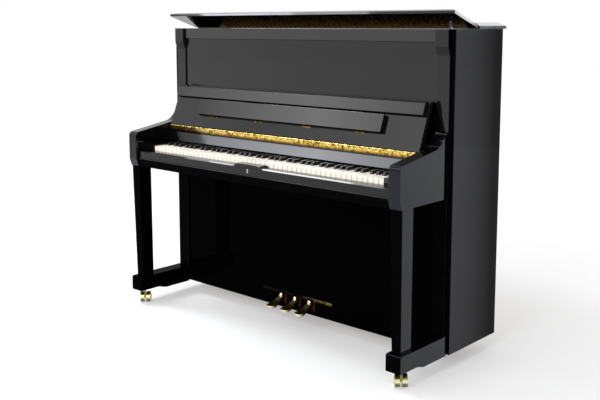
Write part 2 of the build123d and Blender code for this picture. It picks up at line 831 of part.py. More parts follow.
for name, x, y, top in caster_places:
    place = Location((x, y, 0), (0, 0, caster_turn))
    plate_under = top - caster_gap - caster_plate_thickness
    with BuildPart() as fork_shape:
        with BuildSketch(Plane.XY.offset(plate_under)):
            Circle(caster_plate_diameter / 2)
        extrude(amount=caster_plate_thickness)
        with BuildSketch(Plane.XY.offset(plate_under - neck_height)):
            Circle(neck_diameter / 2)
        extrude(amount=neck_height)
        with BuildSketch(side_plane(-blade_thickness / 2)):
            with BuildLine():
                Polyline(
                    (-neck_diameter / 2, plate_under - neck_height),
                    (neck_diameter / 2, plate_under - neck_height),
                    (caster_trail + axle_diameter, axle_height - axle_diameter),
                    (caster_trail - axle_diameter, axle_height - axle_diameter),
                    close=True,
                )
            make_face()
        extrude(amount=blade_thickness)
        with BuildSketch(side_plane(-axle_length / 2)):
            with Locations((caster_trail, axle_height)):
                Circle(axle_diameter / 2)
        extrude(amount=axle_length)
    with BuildPart() as caster_fork:
        with Locations(place):
            add(fork_shape.part)
    keep(caster_fork, f"{name}_caster_fork")

    with BuildPart() as caster_wheels:
        with Locations(place):
            add(wheel_pair.part)
    keep(caster_wheels, f"{name}_caster_wheels")

# Back: five posts, the pin block at the top and the beam at the bottom
with BuildPart() as back_posts:
    with BuildSketch(Plane.XY.offset(case_bottom)):
        with Locations((0, (post_front + side_rear) / 2)):
            with GridLocations((2 * side_in - post_width) / (post_count - 1), 1, post_count, 1):
                Rectangle(post_width, post_depth)
    extrude(amount=back_top - case_bottom)
keep(back_posts, "back_posts")

with BuildPart() as back_beams:
    board(side_in, (pin_block_front, post_front), (pin_block_bottom, back_top))
    board(side_in, (soundboard_back, post_front), (board_top, board_top + bottom_beam_height))
keep(back_beams, "back_beams")

# Soundboard with its two bridges. Strings run from their upper ends, an eighth of their length
# above the strike line, down to the bridges, and the bass crosses over the treble.
treble_notes = notes[bass_count:]


def treble_length(note):
    """Speaking length of a treble string."""
    return min(treble_longest, treble_shortest * treble_growth ** ((note_count - note) / 12))


def treble_ends(note):
    """Upper end, at the bearing bar, and lower end, at the bridge, of a treble string."""
    lower = strike_height - treble_length(note) * 7 / 8
    return (note_x[note], treble_y, field_bottom), (note_x[note], treble_y + string_rake, lower)


def bass_ends(note):
    """Upper and lower end of a bass string, which leans towards the treble as it goes down."""
    upper = strike_height + bass_length / 8
    drop = bass_length * cos(radians(bass_tilt))
    shift = tan(radians(bass_tilt))
    return (
        (note_x[note] - shift * bass_length / 8, string_y, upper),
        (note_x[note] + shift * (drop - bass_length / 8), string_y, upper - drop),
    )


with BuildPart() as soundboard:
    board(side_in - soundboard_edge, (soundboard_front, soundboard_back), (board_top, pin_block_bottom))
    with BuildSketch(front_plane(soundboard_front)):
        with BuildLine() as treble_line:
            step = len(treble_notes) // 6
            Spline(*[(treble_ends(note)[1][0], treble_ends(note)[1][2]) for note in treble_notes[::step]])
        trace(treble_line.line, line_width=bridge_width)
    extrude(amount=soundboard_front - treble_y - string_rake - string_width / 2)
    with BuildSketch(front_plane(soundboard_front)):
        first, last = bass_ends(1)[1], bass_ends(bass_count)[1]
        with Locations(((first[0] + last[0]) / 2, first[2])):
            Rectangle(last[0] - first[0] + bridge_width, bridge_width)
    extrude(amount=soundboard_front - string_y - string_width / 2)
keep(soundboard, "soundboard")

with BuildPart() as soundboard_ribs:
    rib_field = pin_block_bottom - board_top - bottom_beam_height
    with BuildSketch(front_plane(soundboard_back + rib_depth)):
        with Locations((0, pin_block_bottom - rib_field / 2)):
            with GridLocations(1, rib_field / rib_count, 1, rib_count):
                Rectangle(2 * (side_in - soundboard_edge - post_width), rib_width)
    extrude(amount=rib_depth)
keep(soundboard_ribs, "soundboard_ribs")

# Iron plate: a rim round one tall window, the solid field for the tuning pins, and the bearing bar
with BuildPart() as iron_plate:
    with BuildSketch(front_plane(pin_block_front)):
        with Locations((0, (plate_bottom + back_top - plate_edge) / 2)):
            Rectangle(2 * (side_in - plate_edge), back_top - plate_edge - plate_bottom)
        with Locations((0, (plate_bottom + plate_rim + field_bottom) / 2)):
            window = 2 * (side_in - plate_edge - plate_rim)
            Rectangle(window, field_bottom - plate_bottom - plate_rim, mode=Mode.SUBTRACT)
    extrude(amount=plate_thickness)
    break_x = (bass_ends(bass_count)[0][0] + note_x[bass_count + 1]) / 2
    bar_end = keyboard_end + plate_rim
    for left, right, wire_y in ((-bar_end, break_x, string_y), (break_x, bar_end, treble_y)):
        bar_depth = plate_front - wire_y - string_width / 2
        with Locations(((left + right) / 2, plate_front - bar_depth / 2, field_bottom + bar_height / 2)):
            Box(right - left, bar_depth, bar_height)
keep(iron_plate, "iron_plate")


def wire(ends):
    """One string as a thin square bar between its ends, drawn up to the bearing bar."""
    start, end = Vector(ends[0]), Vector(ends[1])
    top = start + (start - end) * ((field_bottom + bar_height - start.Z) / (start.Z - end.Z))
    across = (0, 1, 0) if start.Y == end.Y else (1, 0, 0)
    with BuildSketch(Plane(origin=top, x_dir=across, z_dir=end - top)) as section:
        Rectangle(string_width, string_width)
    return extrude(section.sketch, amount=(end - top).length, mode=Mode.PRIVATE)


wires = [wire(bass_ends(note)) for note in notes[:bass_count]]
wires += [wire(treble_ends(note)) for note in treble_notes]
with BuildPart() as strings:
    add(wires)
keep(strings, "strings")

# Action frame: two posts on the key bed, the main rail and the hammer rest rail
with BuildPart() as action_frame:
    rail_front = string_y - action_rail_ahead
    post_in = keyboard_end + action_post_gap
    post_out = post_in + action_post_width
    post_rear = rail_front + action_rail_thickness
    rest_front = string_y - rest_rail_ahead
    board(post_in, (rail_front, post_rear), (action_rail_bottom, action_rail_bottom + action_rail_height))
    board(
        post_in,
        (rest_front, rest_front + rest_rail_thickness),
        (rest_rail_bottom, rest_rail_bottom + rest_rail_height),
    )
    for sign in (-1, 1):
        with BuildSketch(side_plane(min(sign * post_in, sign * post_out))):
            with BuildLine():
                Polyline(
                    (rail_front, bed_top),
                    (post_rear, bed_top),
                    (post_rear, key_top + action_post_rise),
                    (rail_front, key_top + action_post_rise),
                    (rest_front, rest_rail_bottom + rest_rail_height),
                    (rest_front, rest_rail_bottom),
                    (rail_front, action_rail_bottom),
                    close=True,
                )
            make_face()
        extrude(amount=action_post_width)
keep(action_frame, "action_frame")


# Whippens, hammers and dampers. One of each is drawn and set at its notes.
with BuildPart() as whippen:
    pivot = string_y - whippen_ahead
    heel = string_y - heel_ahead
    arm_half = part_width * 2 / 3
    heel_bottom = key_top + heel_gap
    with BuildSketch(side_plane(-part_width / 2)):
        with BuildLine():
            Polyline(
                (pivot + arm_half, whippen_height - arm_half),
                (heel + heel_length, whippen_height - arm_half),
                (heel + heel_length, heel_bottom),
                (heel, heel_bottom),
                (heel, whippen_height - arm_half),
                (pivot - whippen_reach, whippen_height - arm_half / 2),
                (pivot - whippen_reach, whippen_height + arm_half / 2),
                (pivot + arm_half, whippen_height + arm_half),
                close=True,
            )
        make_face()
    extrude(amount=part_width)

hammer_tilt = radians(hammer_lean)
hammer_plane = Plane(
    origin=(-part_width / 2, string_y - butt_ahead, key_top + butt_rise),
    x_dir=(0, cos(hammer_tilt), sin(hammer_tilt)),
    z_dir=(1, 0, 0),
)
with BuildPart() as hammer:
    shank = part_width / 3
    butt = part_width * 4 / 5
    felt = part_width
    with BuildSketch(hammer_plane):
        with BuildLine():
            Polyline(
                (butt, -butt),
                (shank, 2 * butt),
                (shank, hammer_length - felt),
                (hammer_tip - felt, hammer_length - felt),
                (hammer_tip, hammer_length),
                (hammer_tip - felt, hammer_length + felt),
                (-butt, hammer_length + felt * 2 / 3),
                (-butt, hammer_length - felt * 2 / 3),
                (-shank, hammer_length - felt * 2 / 3),
                (-shank, 2 * butt),
                (-butt, -butt),
                close=True,
            )
        make_face()
    extrude(amount=part_width)

with BuildPart() as damper:
    damper_y = string_y - damper_ahead
    damper_half = part_width / 2
    head_face = string_y - string_width / 2 - damper_gap
    with BuildSketch(side_plane(-part_width / 2)):
        with BuildLine():
            Polyline(
                (damper_y - damper_half, key_top + damper_rise - part_width),
                (damper_y + damper_half, key_top + damper_rise - part_width),
                (damper_y + damper_half, damper_head_bottom),
                (head_face, damper_head_bottom),
                (head_face, damper_head_bottom + damper_head_height),
                (damper_y + damper_half, damper_head_bottom + damper_head_height),
                close=True,
            )
        make_face()
    extrude(amount=part_width)

row_groups = (
    ("white_whippens", whippen, white_notes),
    ("black_whippens", whippen, black_notes),
    ("white_hammers", hammer, white_notes),
    ("black_hammers", hammer, black_notes),
    ("dampers", damper, notes[:damper_count]),
)
for name, single, members in row_groups:
    with BuildPart() as row:
        with Locations(*[(note_x[note], 0, 0) for note in members]):
            add(single.part)
    keep(row, name)

# Muffler rail, whose felt drops between hammers and strings
with BuildPart() as muffler_rail:
    muffler_front = string_y - muffler_ahead
    board(
        keyboard_end + action_post_gap / 2,
        (muffler_front, muffler_front + muffler_thickness),
        (key_top + muffler_rise, key_top + muffler_rise + muffler_height),
    )
keep(muffler_rail, "muffler_rail")
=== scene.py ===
from math import pi, radians

import bmesh
import bpy
from mathutils import Matrix, Vector


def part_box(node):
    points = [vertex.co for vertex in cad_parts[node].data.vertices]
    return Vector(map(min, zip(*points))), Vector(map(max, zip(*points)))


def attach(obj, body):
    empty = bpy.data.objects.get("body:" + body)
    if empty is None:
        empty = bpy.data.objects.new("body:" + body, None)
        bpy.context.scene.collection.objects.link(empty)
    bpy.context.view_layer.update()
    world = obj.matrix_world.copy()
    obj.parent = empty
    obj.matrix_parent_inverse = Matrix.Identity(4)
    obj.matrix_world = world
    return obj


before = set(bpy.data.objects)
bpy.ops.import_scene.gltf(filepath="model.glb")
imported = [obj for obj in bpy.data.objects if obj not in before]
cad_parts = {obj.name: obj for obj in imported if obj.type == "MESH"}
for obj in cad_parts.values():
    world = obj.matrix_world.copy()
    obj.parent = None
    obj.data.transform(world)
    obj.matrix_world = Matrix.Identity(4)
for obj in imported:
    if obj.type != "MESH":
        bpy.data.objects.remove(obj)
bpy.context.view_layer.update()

scene = bpy.context.scene
scene.view_settings.view_transform = "Standard"

# Back frame: five posts between the pin block and the bottom beam, with the bottom board in front.
# The posts are glued spruce and the beams laminated beech, planed and given a brown stain and lacquer.
# They are mortised, glued and bolted, and carry the pull of all the strings.


def linear(code):
    """Linear colour of an sRGB hex code."""
    parts = [int(code[i : i + 2], 16) / 255 for i in (1, 3, 5)]
    return [p / 12.92 if p <= 0.04045 else ((p + 0.055) / 1.055) ** 2.4 for p in parts] + [1.0]


def add_node(tree, kind, inputs=None, **settings):
    """Adds a shader node. Settings are its properties, inputs its values or the sockets that feed them."""
    node = tree.nodes.new("ShaderNode" + kind)
    for name, value in settings.items():
        setattr(node, name, value)
    for name, value in (inputs or {}).items():
        if isinstance(value, bpy.types.NodeSocket):
            tree.links.new(value, node.inputs[name])
        else:
            node.inputs[name].default_value = value
    return node


def start_material(name):
    """An empty material, its node tree and the Object coordinates in it."""
    material = bpy.data.materials.new(name)
    material.use_nodes = True
    tree = material.node_tree
    tree.nodes.clear()
    return material, tree, add_node(tree, "TexCoord").outputs["Object"]


def end_material(tree, **inputs):
    """The surface of a material, from the Principled shader's inputs by name."""
    named = {name.replace("_", " ").title().replace("Ior", "IOR"): value for name, value in inputs.items()}
    shader = add_node(tree, "BsdfPrincipled", named)
    add_node(tree, "OutputMaterial", {"Surface": shader.outputs["BSDF"]})


def dress(material, *names):
    """Gives carried-over solids their finish."""
    for name in names:
        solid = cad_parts[name]
        if not solid.material_slots:
            solid.data.materials.append(None)
        for place in solid.material_slots:
            place.material = material


# Planed softwood and beech: long streaks of early and late wood along the grain, a darker wander
# from board to board, and a satin lacquer that lets the grain be felt.
ALONG_X = 0
ALONG_Z = 2
GRAIN_SQUEEZE = 0.05
WANDER_SHARE = 0.15


def planed_wood(name, pale, dark, ring_width, along, roughness):
    material, tree, place = start_material(name)
    squeeze = [1.0, 1.0, 1.0]
    squeeze[along] = GRAIN_SQUEEZE
    laid = add_node(tree, "Mapping", {"Vector": place, "Scale": squeeze}).outputs["Vector"]
    rings = add_node(
        tree, "TexNoise", {"Vector": laid, "Scale": 1 / ring_width, "Detail": 6.0, "Distortion": 0.4}
    )
    wander = add_node(tree, "TexNoise", {"Vector": laid, "Scale": WANDER_SHARE / ring_width, "Detail": 3.0})
    both = add_node(tree, "Math", {0: rings.outputs["Fac"], 1: wander.outputs["Fac"]}, operation="ADD")
    depth = add_node(tree, "MapRange", {"Value": both.outputs[0], "From Min": 0.75, "From Max": 1.25})
    colour = add_node(
        tree, "MixRGB", {"Fac": depth.outputs[0], "Color1": linear(dark), "Color2": linear(pale)}
    )
    sheen = add_node(
        tree,
        "MapRange",
        {"Value": rings.outputs["Fac"], "To Min": roughness * 1.2, "To Max": roughness * 0.8},
    )
    relief = add_node(tree, "Bump", {"Height": rings.outputs["Fac"], "Strength": 0.15, "Distance": 0.0005})
    end_material(
        tree,
        base_color=colour.outputs["Color"],
        roughness=sheen.outputs[0],
        normal=relief.outputs["Normal"],
        ior=1.5,
    )
    return material


POST_RING = 0.006
BEAM_RING = 0.005
post_wood = planed_wood("lacquered_spruce_posts", "#8a5a34", "#5c3819", POST_RING, ALONG_Z, roughness=0.42)
beam_wood = planed_wood("lacquered_beech_beams", "#84532f", "#5a3418", BEAM_RING, ALONG_X, roughness=0.42)
dress(post_wood, "back_posts")
dress(beam_wood, "back_beams", "bottom_board")

# Soundboard: a thin spruce membrane with its ribs, and the bridges that the strings press on.
# Quarter-sawn boards are glued edge to edge, planed thin and varnished amber.
# The ribs are glued across the grain and the whole board is glued to the posts and beams.
SOUNDBOARD_RING = 0.004
board_wood = planed_wood("varnished_spruce", "#d8a866", "#ab7638", SOUNDBOARD_RING, ALONG_Z, roughness=0.3)
dress(board_wood, "soundboard", "soundboard_ribs")

# Iron plate: the cast frame that takes the strings' pull, with the field for the tuning pins on top.
# Grey iron, sand-cast, filled and sprayed with bronze lacquer, so that it keeps a fine cast grain.
# It is bolted to the posts through the pin block, with round-headed bolts along its edges.


def turned(outline, steps):
    """A turned shape: an outline of (radius, height) points spun round the Z axis."""
    shape = bmesh.new()
    ring = [shape.verts.new((radius, 0, height)) for radius, height in outline]
    edges = [shape.edges.new(pair) for pair in zip(ring, ring[1:])]
    bmesh.ops.spin(
        shape, geom=ring + edges, axis=(0, 0, 1), cent=(0, 0, 0), angle=2 * pi, steps=steps, use_merge=True
    )
    bmesh.ops.remove_doubles(shape, verts=shape.verts, dist=1e-6)
    bmesh.ops.recalc_face_normals(shape, faces=shape.faces)
    return shape


def set_piece(name, shape, material, body, places=None):
    """Makes a piece from one shape, or from its copies at several places, and lets it ride on a body."""
    mesh = bpy.data.meshes.new(name)
    shape.to_mesh(mesh)
    shape.free()
    if places is not None:
        whole = bmesh.new()
        for place in places:
            copy = mesh.copy()
            copy.transform(place)
            whole.from_mesh(copy)
            bpy.data.meshes.remove(copy)
        whole.to_mesh(mesh)
        whole.free()
    mesh.materials.append(material)
    piece = bpy.data.objects.new(name, mesh)
    scene.collection.objects.link(piece)
    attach(piece, body)


# Bronzed cast iron: a warm metallic lacquer over a cast grain, duller than polished brass. Its tones are
# painted paler than the lacquer, a painted light on the plate, which little lamp light reaches under the lid.
CAST_GRAIN = 0.003
CAST_EDGE = 0.003


def bronzed_iron():
    material, tree, place = start_material("bronzed_cast_iron")
    grain = add_node(tree, "TexNoise", {"Vector": place, "Scale": 1 / CAST_GRAIN, "Detail": 4.0})
    colour = add_node(
        tree,
        "MixRGB",
        {"Fac": grain.outputs["Fac"], "Color1": linear("#dfb252"), "Color2": linear("#fbd988")},
    )
    edge = add_node(tree, "Bevel", {"Radius": CAST_EDGE}, samples=4)
    relief = add_node(
        tree,
        "Bump",
        {"Height": grain.outputs["Fac"], "Strength": 0.2, "Distance": 0.0005, "Normal": edge.outputs[0]},
    )
    end_material(
        tree,
        base_color=colour.outputs["Color"],
        metallic=0.25,
        roughness=0.42,
        normal=relief.outputs["Normal"],
    )
    return material


bronze = bronzed_iron()
dress(bronze, "iron_plate")

plate_low, plate_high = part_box("iron_plate")
PLATE_FACE = 0.183
BOLT_INSET = 0.022
BOLT_COLUMNS = 9
BOLT_ROWS = 6
BOLT_ROW_STEP = 0.16
BOLT_OUTLINE = ((0, 0.006), (0.004, 0.0055), (0.007, 0.0035), (0.008, 0.001), (0.008, -0.001), (0, -0.001))
facing_front = Matrix.Rotation(pi / 2, 4, "X")
bolt_rows = [plate_low.z + BOLT_INSET + row * BOLT_ROW_STEP for row in range(BOLT_ROWS)]
bolt_span = plate_high.x - BOLT_INSET
bolt_places = [(side * bolt_span, height) for side in (-1, 1) for height in bolt_rows]
bolt_places += [
    (-bolt_span + column * 2 * bolt_span / (BOLT_COLUMNS - 1), plate_low.z + BOLT_INSET)
    for column in range(1, BOLT_COLUMNS - 1)
]
set_piece(
    "plate_bolts",
    turned(BOLT_OUTLINE, steps=12),
    bronze,
    "case",
    [Matrix.Translation((x, PLATE_FACE, z)) @ facing_front for x, z in bolt_places],
)

# Strings and tuning pins: plain steel in the treble, copper-wound steel in the bass, and nickelled pins.
# Music wire is drawn bright; the bass wires carry a close winding of copper.
# Each wire runs over the bearing bar and winds on a pin that is driven tight into the pin block.


# Polished metal: a bright, slightly grained mirror. Handling and cloth keep some places bright and
# leave others brown, in patches. Where a direction is given, the tone is instead a painted sheen and
# painted reflection, set by how a face is turned to that direction.
# A metal may also be darkened to its first tone at the start of a stretch (axis, start, end).
METAL_SQUEEZE = (0.08, 1.0, 1.0)


def polished_metal(
    name, tones, roughness, edge_round, grain_width=0.002, patch_width=0.025, sheen_facing=None, darkened=None
):
    material, tree, place = start_material(name)
    laid = add_node(tree, "Mapping", {"Vector": place, "Scale": METAL_SQUEEZE}).outputs["Vector"]
    grain = add_node(tree, "TexNoise", {"Vector": laid, "Scale": 1 / grain_width, "Detail": 5.0})
    # Painted sheen and reflection: the tone follows how the face is turned to the given direction.
    if sheen_facing:
        normal = add_node(tree, "NewGeometry").outputs["Normal"]
        turn = add_node(tree, "VectorMath", {0: normal, 1: sheen_facing}, operation="DOT_PRODUCT")
        tone = add_node(
            tree, "MapRange", {"Value": turn.outputs["Value"], "From Min": -1.0, "From Max": 1.0}
        ).outputs[0]
    else:
        patches = add_node(tree, "TexNoise", {"Vector": place, "Scale": 1 / patch_width, "Detail": 2.0})
        tone = add_node(
            tree, "MapRange", {"Value": patches.outputs["Fac"], "From Min": 0.3, "From Max": 0.7}
        ).outputs[0]
    # Darkening by place: the tone falls to the first one before the start of the stretch.
    if darkened:
        axis, start, end = darkened
        along = add_node(tree, "SeparateXYZ", {0: place}).outputs[axis]
        kept = add_node(tree, "MapRange", {"Value": along, "From Min": start, "From Max": end}).outputs[0]
        tone = add_node(tree, "Math", {0: tone, 1: kept}, operation="MULTIPLY").outputs[0]
    colour = add_node(tree, "ValToRGB", {"Fac": tone})
    stops = colour.color_ramp.elements
    while len(stops) < len(tones):
        stops.new(1.0)
    for stop, (position, code) in zip(stops, tones):
        stop.position = position
        stop.color = linear(code)
    polish = add_node(
        tree,
        "MapRange",
        {"Value": grain.outputs["Fac"], "To Min": roughness * 0.6, "To Max": roughness * 1.5},
    )
    edge = add_node(tree, "Bevel", {"Radius": edge_round}, samples=4)
    relief = add_node(
        tree,
        "Bump",
        {"Height": grain.outputs["Fac"], "Strength": 0.06, "Distance": 0.0003, "Normal": edge.outputs[0]},
    )
    end_material(
        tree,
        base_color=colour.outputs["Color"],
        metallic=1.0,
        roughness=polish.outputs[0],
        normal=relief.outputs["Normal"],
    )
    return material


# Music wire: bright drawn steel; the bass wires lie in front of the others and show their copper.
# The winding is drawn coarser than the real one, as coarse as it needs to show.
BASS_PLANE = 0.1745
WINDING_PITCH = 0.00524
WAVES_PER_SCALE = 10 / pi  # the Wave texture's bands in a unit of length, at a scale of one


def music_wire():
    material, tree, place = start_material("drawn_steel_and_copper_winding")
    depth = add_node(tree, "SeparateXYZ", {0: place}).outputs["Y"]
    bass = add_node(tree, "Math", {0: depth, 1: BASS_PLANE}, operation="LESS_THAN").outputs[0]
    winding = add_node(
        tree,
        "TexWave",
        {"Vector": place, "Scale": 1 / (WAVES_PER_SCALE * WINDING_PITCH), "Distortion": 0.0},
        bands_direction="Z",
    )
    copper = add_node(
        tree,
        "MixRGB",
        {"Fac": winding.outputs["Fac"], "Color1": linear("#8a4a2a"), "Color2": linear("#c87a4c")},
    )
    colour = add_node(
        tree, "MixRGB", {"Fac": bass, "Color1": linear("#c4c4c2"), "Color2": copper.outputs["Color"]}
    )
    end_material(tree, base_color=colour.outputs["Color"], metallic=1.0, roughness=0.28)
    return material


wire_finish = music_wire()
dress(wire_finish, "strings")

PIN_NOTES = 88
PIN_FIRST = -0.628
PIN_PITCH = 0.01405
PIN_ROWS = (1.152, 1.128, 1.104)
PIN_STAGGER = 0.008
PIN_SLANT = radians(6)
PIN_OUTLINE = (
    (0, 0.03),
    (0.0026, 0.0298),
    (0.003, 0.016),
    (0.0034, 0.014),
    (0.0046, 0.012),
    (0.0046, 0.006),
    (0.0034, 0.004),
    (0.0034, -0.002),
    (0, -0.002),
)
PIN_TONES = ((0.0, "#d8d5ce"), (1.0, "#a09c95"))
pin_points = [
    (PIN_FIRST + (note + row / len(PIN_ROWS)) * PIN_PITCH, height + (note % 2) * PIN_STAGGER)
    for note in range(PIN_NOTES)
    for row, height in enumerate(PIN_ROWS)
]
pin_turn = Matrix.Rotation(pi / 2 - PIN_SLANT, 4, "X")
set_piece(
    "tuning_pins",
    turned(PIN_OUTLINE, steps=6),
    polished_metal("nickelled_tuning_pin", PIN_TONES, roughness=0.2, edge_round=0.0004),
    "case",
    [Matrix.Translation((x, PLATE_FACE, z)) @ pin_turn for x, z in pin_points],
)

WIRE_THICK = 0.0012
WIRE_LIFT = 0.010
WIRE_CLOSING = 0.985
BAR_TOP = 1.073
BAR_FACE = 0.1735
wire_shape = bmesh.new()
for x, z in pin_points:
    start = Vector((x, PLATE_FACE - WIRE_LIFT, z))
    end = Vector((PIN_FIRST + (x - PIN_FIRST) * WIRE_CLOSING, BAR_FACE, BAR_TOP))
    along = end - start
    turn = along.to_track_quat("Z", "Y").to_matrix().to_4x4()
    bmesh.ops.create_cone(
        wire_shape,
        segments=5,
        radius1=WIRE_THICK / 2,
        radius2=WIRE_THICK / 2,
        depth=along.length,
        matrix=Matrix.Translation((start + end) / 2) @ turn,
    )
set_piece("pin_wires", wire_shape, wire_finish, "case")

# String felts: two strips across the plate, one above the bearing bar and one above the pins.
# Red woven wool, cut in strips, soft and dull beside the bronzed iron.
# They are glued to the plate; the lower one lies under the wires and keeps their short ends quiet.


def rounded_bars(bars, edge_round):
    """Bars with rounded edges, each given by its middle and its size."""
    shape = bmesh.new()
    for middle, size in bars:
        bmesh.ops.create_cube(
            shape, size=1.0, matrix=Matrix.Translation(middle) @ Matrix.Diagonal((*size, 1))
        )
    bmesh.ops.bevel(
        shape, geom=shape.edges, offset=edge_round, segments=2, profile=0.5, affect="EDGES", material=-1
    )
    return shape


# Woven felt: a soft, light-drinking nap with a fine mottle.
NAP_WIDTH = 0.00143  # coarser than the real nap, as coarse as it needs to show


def wool_felt(name, pale, dark):
    material, tree, place = start_material(name)
    nap = add_node(tree, "TexNoise", {"Vector": place, "Scale": 1 / NAP_WIDTH, "Detail": 4.0})
    colour = add_node(
        tree, "MixRGB", {"Fac": nap.outputs["Fac"], "Color1": linear(dark), "Color2": linear(pale)}
    )
    relief = add_node(tree, "Bump", {"Height": nap.outputs["Fac"], "Strength": 0.6, "Distance": 0.0006})
    end_material(
        tree, base_color=colour.outputs["Color"], roughness=0.95, normal=relief.outputs["Normal"], ior=1.3
    )
    return material


red_felt = wool_felt("red_woven_felt", "#a3241f", "#6d1512")
STRING_FELT_LONG = 1.262
STRING_FELT_THICK = 0.003
STRING_FELT_WIDE = 0.014
STRING_FELT_ROUND = 0.001
FELT_ABOVE_BAR = 0.014
FELT_ABOVE_PINS = 1.182
felt_heights = (BAR_TOP + FELT_ABOVE_BAR, FELT_ABOVE_PINS)
string_felt_size = (STRING_FELT_LONG, STRING_FELT_THICK, STRING_FELT_WIDE)
set_piece(
    "string_felts",
    rounded_bars([((0, 0, 0), string_felt_size)], STRING_FELT_ROUND),
    red_felt,
    "case",
    [Matrix.Translation((0, PLATE_FACE - STRING_FELT_THICK / 2, height)) for height in felt_heights],
)

# Case: the two sides, with the stiles and their corbels in front of them.
# Thick board with hardwood edges, sprayed with black polyester, sanded flat and buffed to a mirror.
# The sides are glued and screwed to the back frame, the stiles to the sides.


# Buffed polyester gives the eye a deep black with a sharp, slightly wavy mirror on it. Buffing leaves
# a faint haze in patches, and sanded edges have a small round that catches the light. The strength of
# the mirror is painted shade and painted highlight: shine is set copy by copy, a fade (axis, best place,
# reach, least) weakens it away from that place, and low_front (height, least) weakens it on front faces
# below a height and on every underside. The colour given for undersides is a greyer black painted there,
# a painted light, and cast tints the mirror, a painted cool reflection.
LACQUER_BLACK = "#050506"
NO_CAST = "#ffffff"
PEEL_WIDTH = 0.014  # the waviness of sprayed lacquer, drawn as coarse as it needs to show
HAZE_WIDTH = 0.16
EDGE_ROUND = 0.0016
LOW_BLEND = 0.004


def black_polyester(
    name, shine, black=LACQUER_BLACK, fade=None, low_front=None, painted_under=None, cast=NO_CAST
):
    material, tree, place = start_material(name)
    haze = add_node(tree, "TexNoise", {"Vector": place, "Scale": 1 / HAZE_WIDTH, "Detail": 3.0})
    gloss = add_node(
        tree,
        "MapRange",
        {"Value": haze.outputs["Fac"], "From Min": 0.3, "From Max": 0.7, "To Min": 0.03, "To Max": 0.075},
    )
    peel = add_node(tree, "TexNoise", {"Vector": place, "Scale": 1 / PEEL_WIDTH, "Detail": 1.0})
    edge = add_node(tree, "Bevel", {"Radius": EDGE_ROUND}, samples=4)
    wave = add_node(
        tree,
        "Bump",
        {"Height": peel.outputs["Fac"], "Strength": 0.02, "Distance": 0.0004, "Normal": edge.outputs[0]},
    )
    mirror = shine
    colour = linear(black)
    if fade or low_front:
        point = add_node(tree, "SeparateXYZ", {0: place})
    # Painted shade and highlight: the mirror weakens away from the best place.
    if fade:
        axis, best, reach, least = fade
        beyond = add_node(tree, "Math", {0: point.outputs[axis], 1: best}, operation="SUBTRACT").outputs[0]
        far = add_node(tree, "Math", {0: beyond}, operation="ABSOLUTE").outputs[0]
        mirror = add_node(
            tree, "MapRange", {"Value": far, "From Max": reach, "To Min": shine, "To Max": least}
        ).outputs[0]
    # Painted shade: the mirror weakens on front faces below the height and on undersides.
    if low_front:
        height, least = low_front
        falling = {"To Min": 1.0, "To Max": 0.0}
        low = add_node(
            tree,
            "MapRange",
            {"Value": point.outputs["Z"], "From Min": height - LOW_BLEND, "From Max": height, **falling},
        )
        normal = add_node(tree, "SeparateXYZ", {0: add_node(tree, "NewGeometry").outputs["Normal"]})
        front = add_node(
            tree, "MapRange", {"Value": normal.outputs["Y"], "From Min": -0.75, "From Max": -0.4, **falling}
        )
        under = add_node(
            tree, "MapRange", {"Value": normal.outputs["Z"], "From Min": -0.4, "From Max": -0.12, **falling}
        )
        both = add_node(tree, "Math", {0: low.outputs[0], 1: front.outputs[0]}, operation="MULTIPLY")
        dull = add_node(tree, "Math", {0: both.outputs[0], 1: under.outputs[0]}, operation="MAXIMUM")
        # Painted light: undersides get a greyer black.
        if painted_under:
            colour = add_node(
                tree, "MixRGB", {"Fac": under.outputs[0], "Color1": colour, "Color2": linear(painted_under)}
            ).outputs["Color"]
        mirror = add_node(
            tree, "MapRange", {"Value": dull.outputs[0], "To Min": mirror, "To Max": least}
        ).outputs[0]
    end_material(
        tree,
        base_color=colour,
        roughness=gloss.outputs[0],
        specular_ior_level=mirror,
        specular_tint=linear(cast),
        normal=wave.outputs["Normal"],
        ior=1.5,
    )
    return material


# Painted reflection: a cool tint in the mirror of the sides, the right leg and toe block, and the arms.
PAINTED_COOL_REFLECTION = "#e6ebff"
# Painted shade and highlight: the sides mirror most at y = 0, less towards front and rear, and little on
# front faces and undersides.
SIDE_FADE = ("Y", 0.0, 0.25, 0.035)
SIDE_FRONT = (2.0, 0.003)
LOW_FRONT = (0.657, 0.003)
CORBEL_PAINTED_LIGHT = "#2a2a2b"
side_finish = black_polyester(
    "black_polyester_sides", shine=0.25, fade=SIDE_FADE, low_front=SIDE_FRONT, cast=PAINTED_COOL_REFLECTION
)
dress(side_finish, "left_side_panel", "right_side_panel")
# Painted shade on the stiles' low front faces and undersides, with painted light in the undersides' greyer
# black.
stile_finish = black_polyester(
    "black_polyester_stiles", shine=0.5, low_front=LOW_FRONT, painted_under=CORBEL_PAINTED_LIGHT
)
dress(stile_finish, "left_stile", "right_stile")

# Feet: toe blocks, legs and arms at the two ends of the keyboard.
# Solid hardwood under the same black polyester, with the arms' hollow and scroll shaped on a spindle.
# The legs are dowelled between the toe blocks and the key bed.
# Painted shade: the right leg, right toe block and arms mirror less on low front faces and undersides, each
# with its own shine.
ARM_FRONT = (0.9, 0.28)
SHADE_BLACK = "#020202"
post_finish = black_polyester("black_polyester_posts", shine=0.36, low_front=LOW_FRONT, cast=PAINTED_COOL_REFLECTION)
dress(post_finish, "right_leg", "right_toe_block")
arm_finish = black_polyester("black_polyester_arms", shine=0.36, low_front=ARM_FRONT, cast=PAINTED_COOL_REFLECTION)
dress(arm_finish, "left_arm", "right_arm")
# The left leg and toe block get the low front's painted shade: almost no mirror and a deeper black.
dull_black_and_shade = black_polyester("black_polyester_low_case", shine=0.004, black=SHADE_BLACK)
dress(dull_black_and_shade, "left_leg", "left_toe_block")

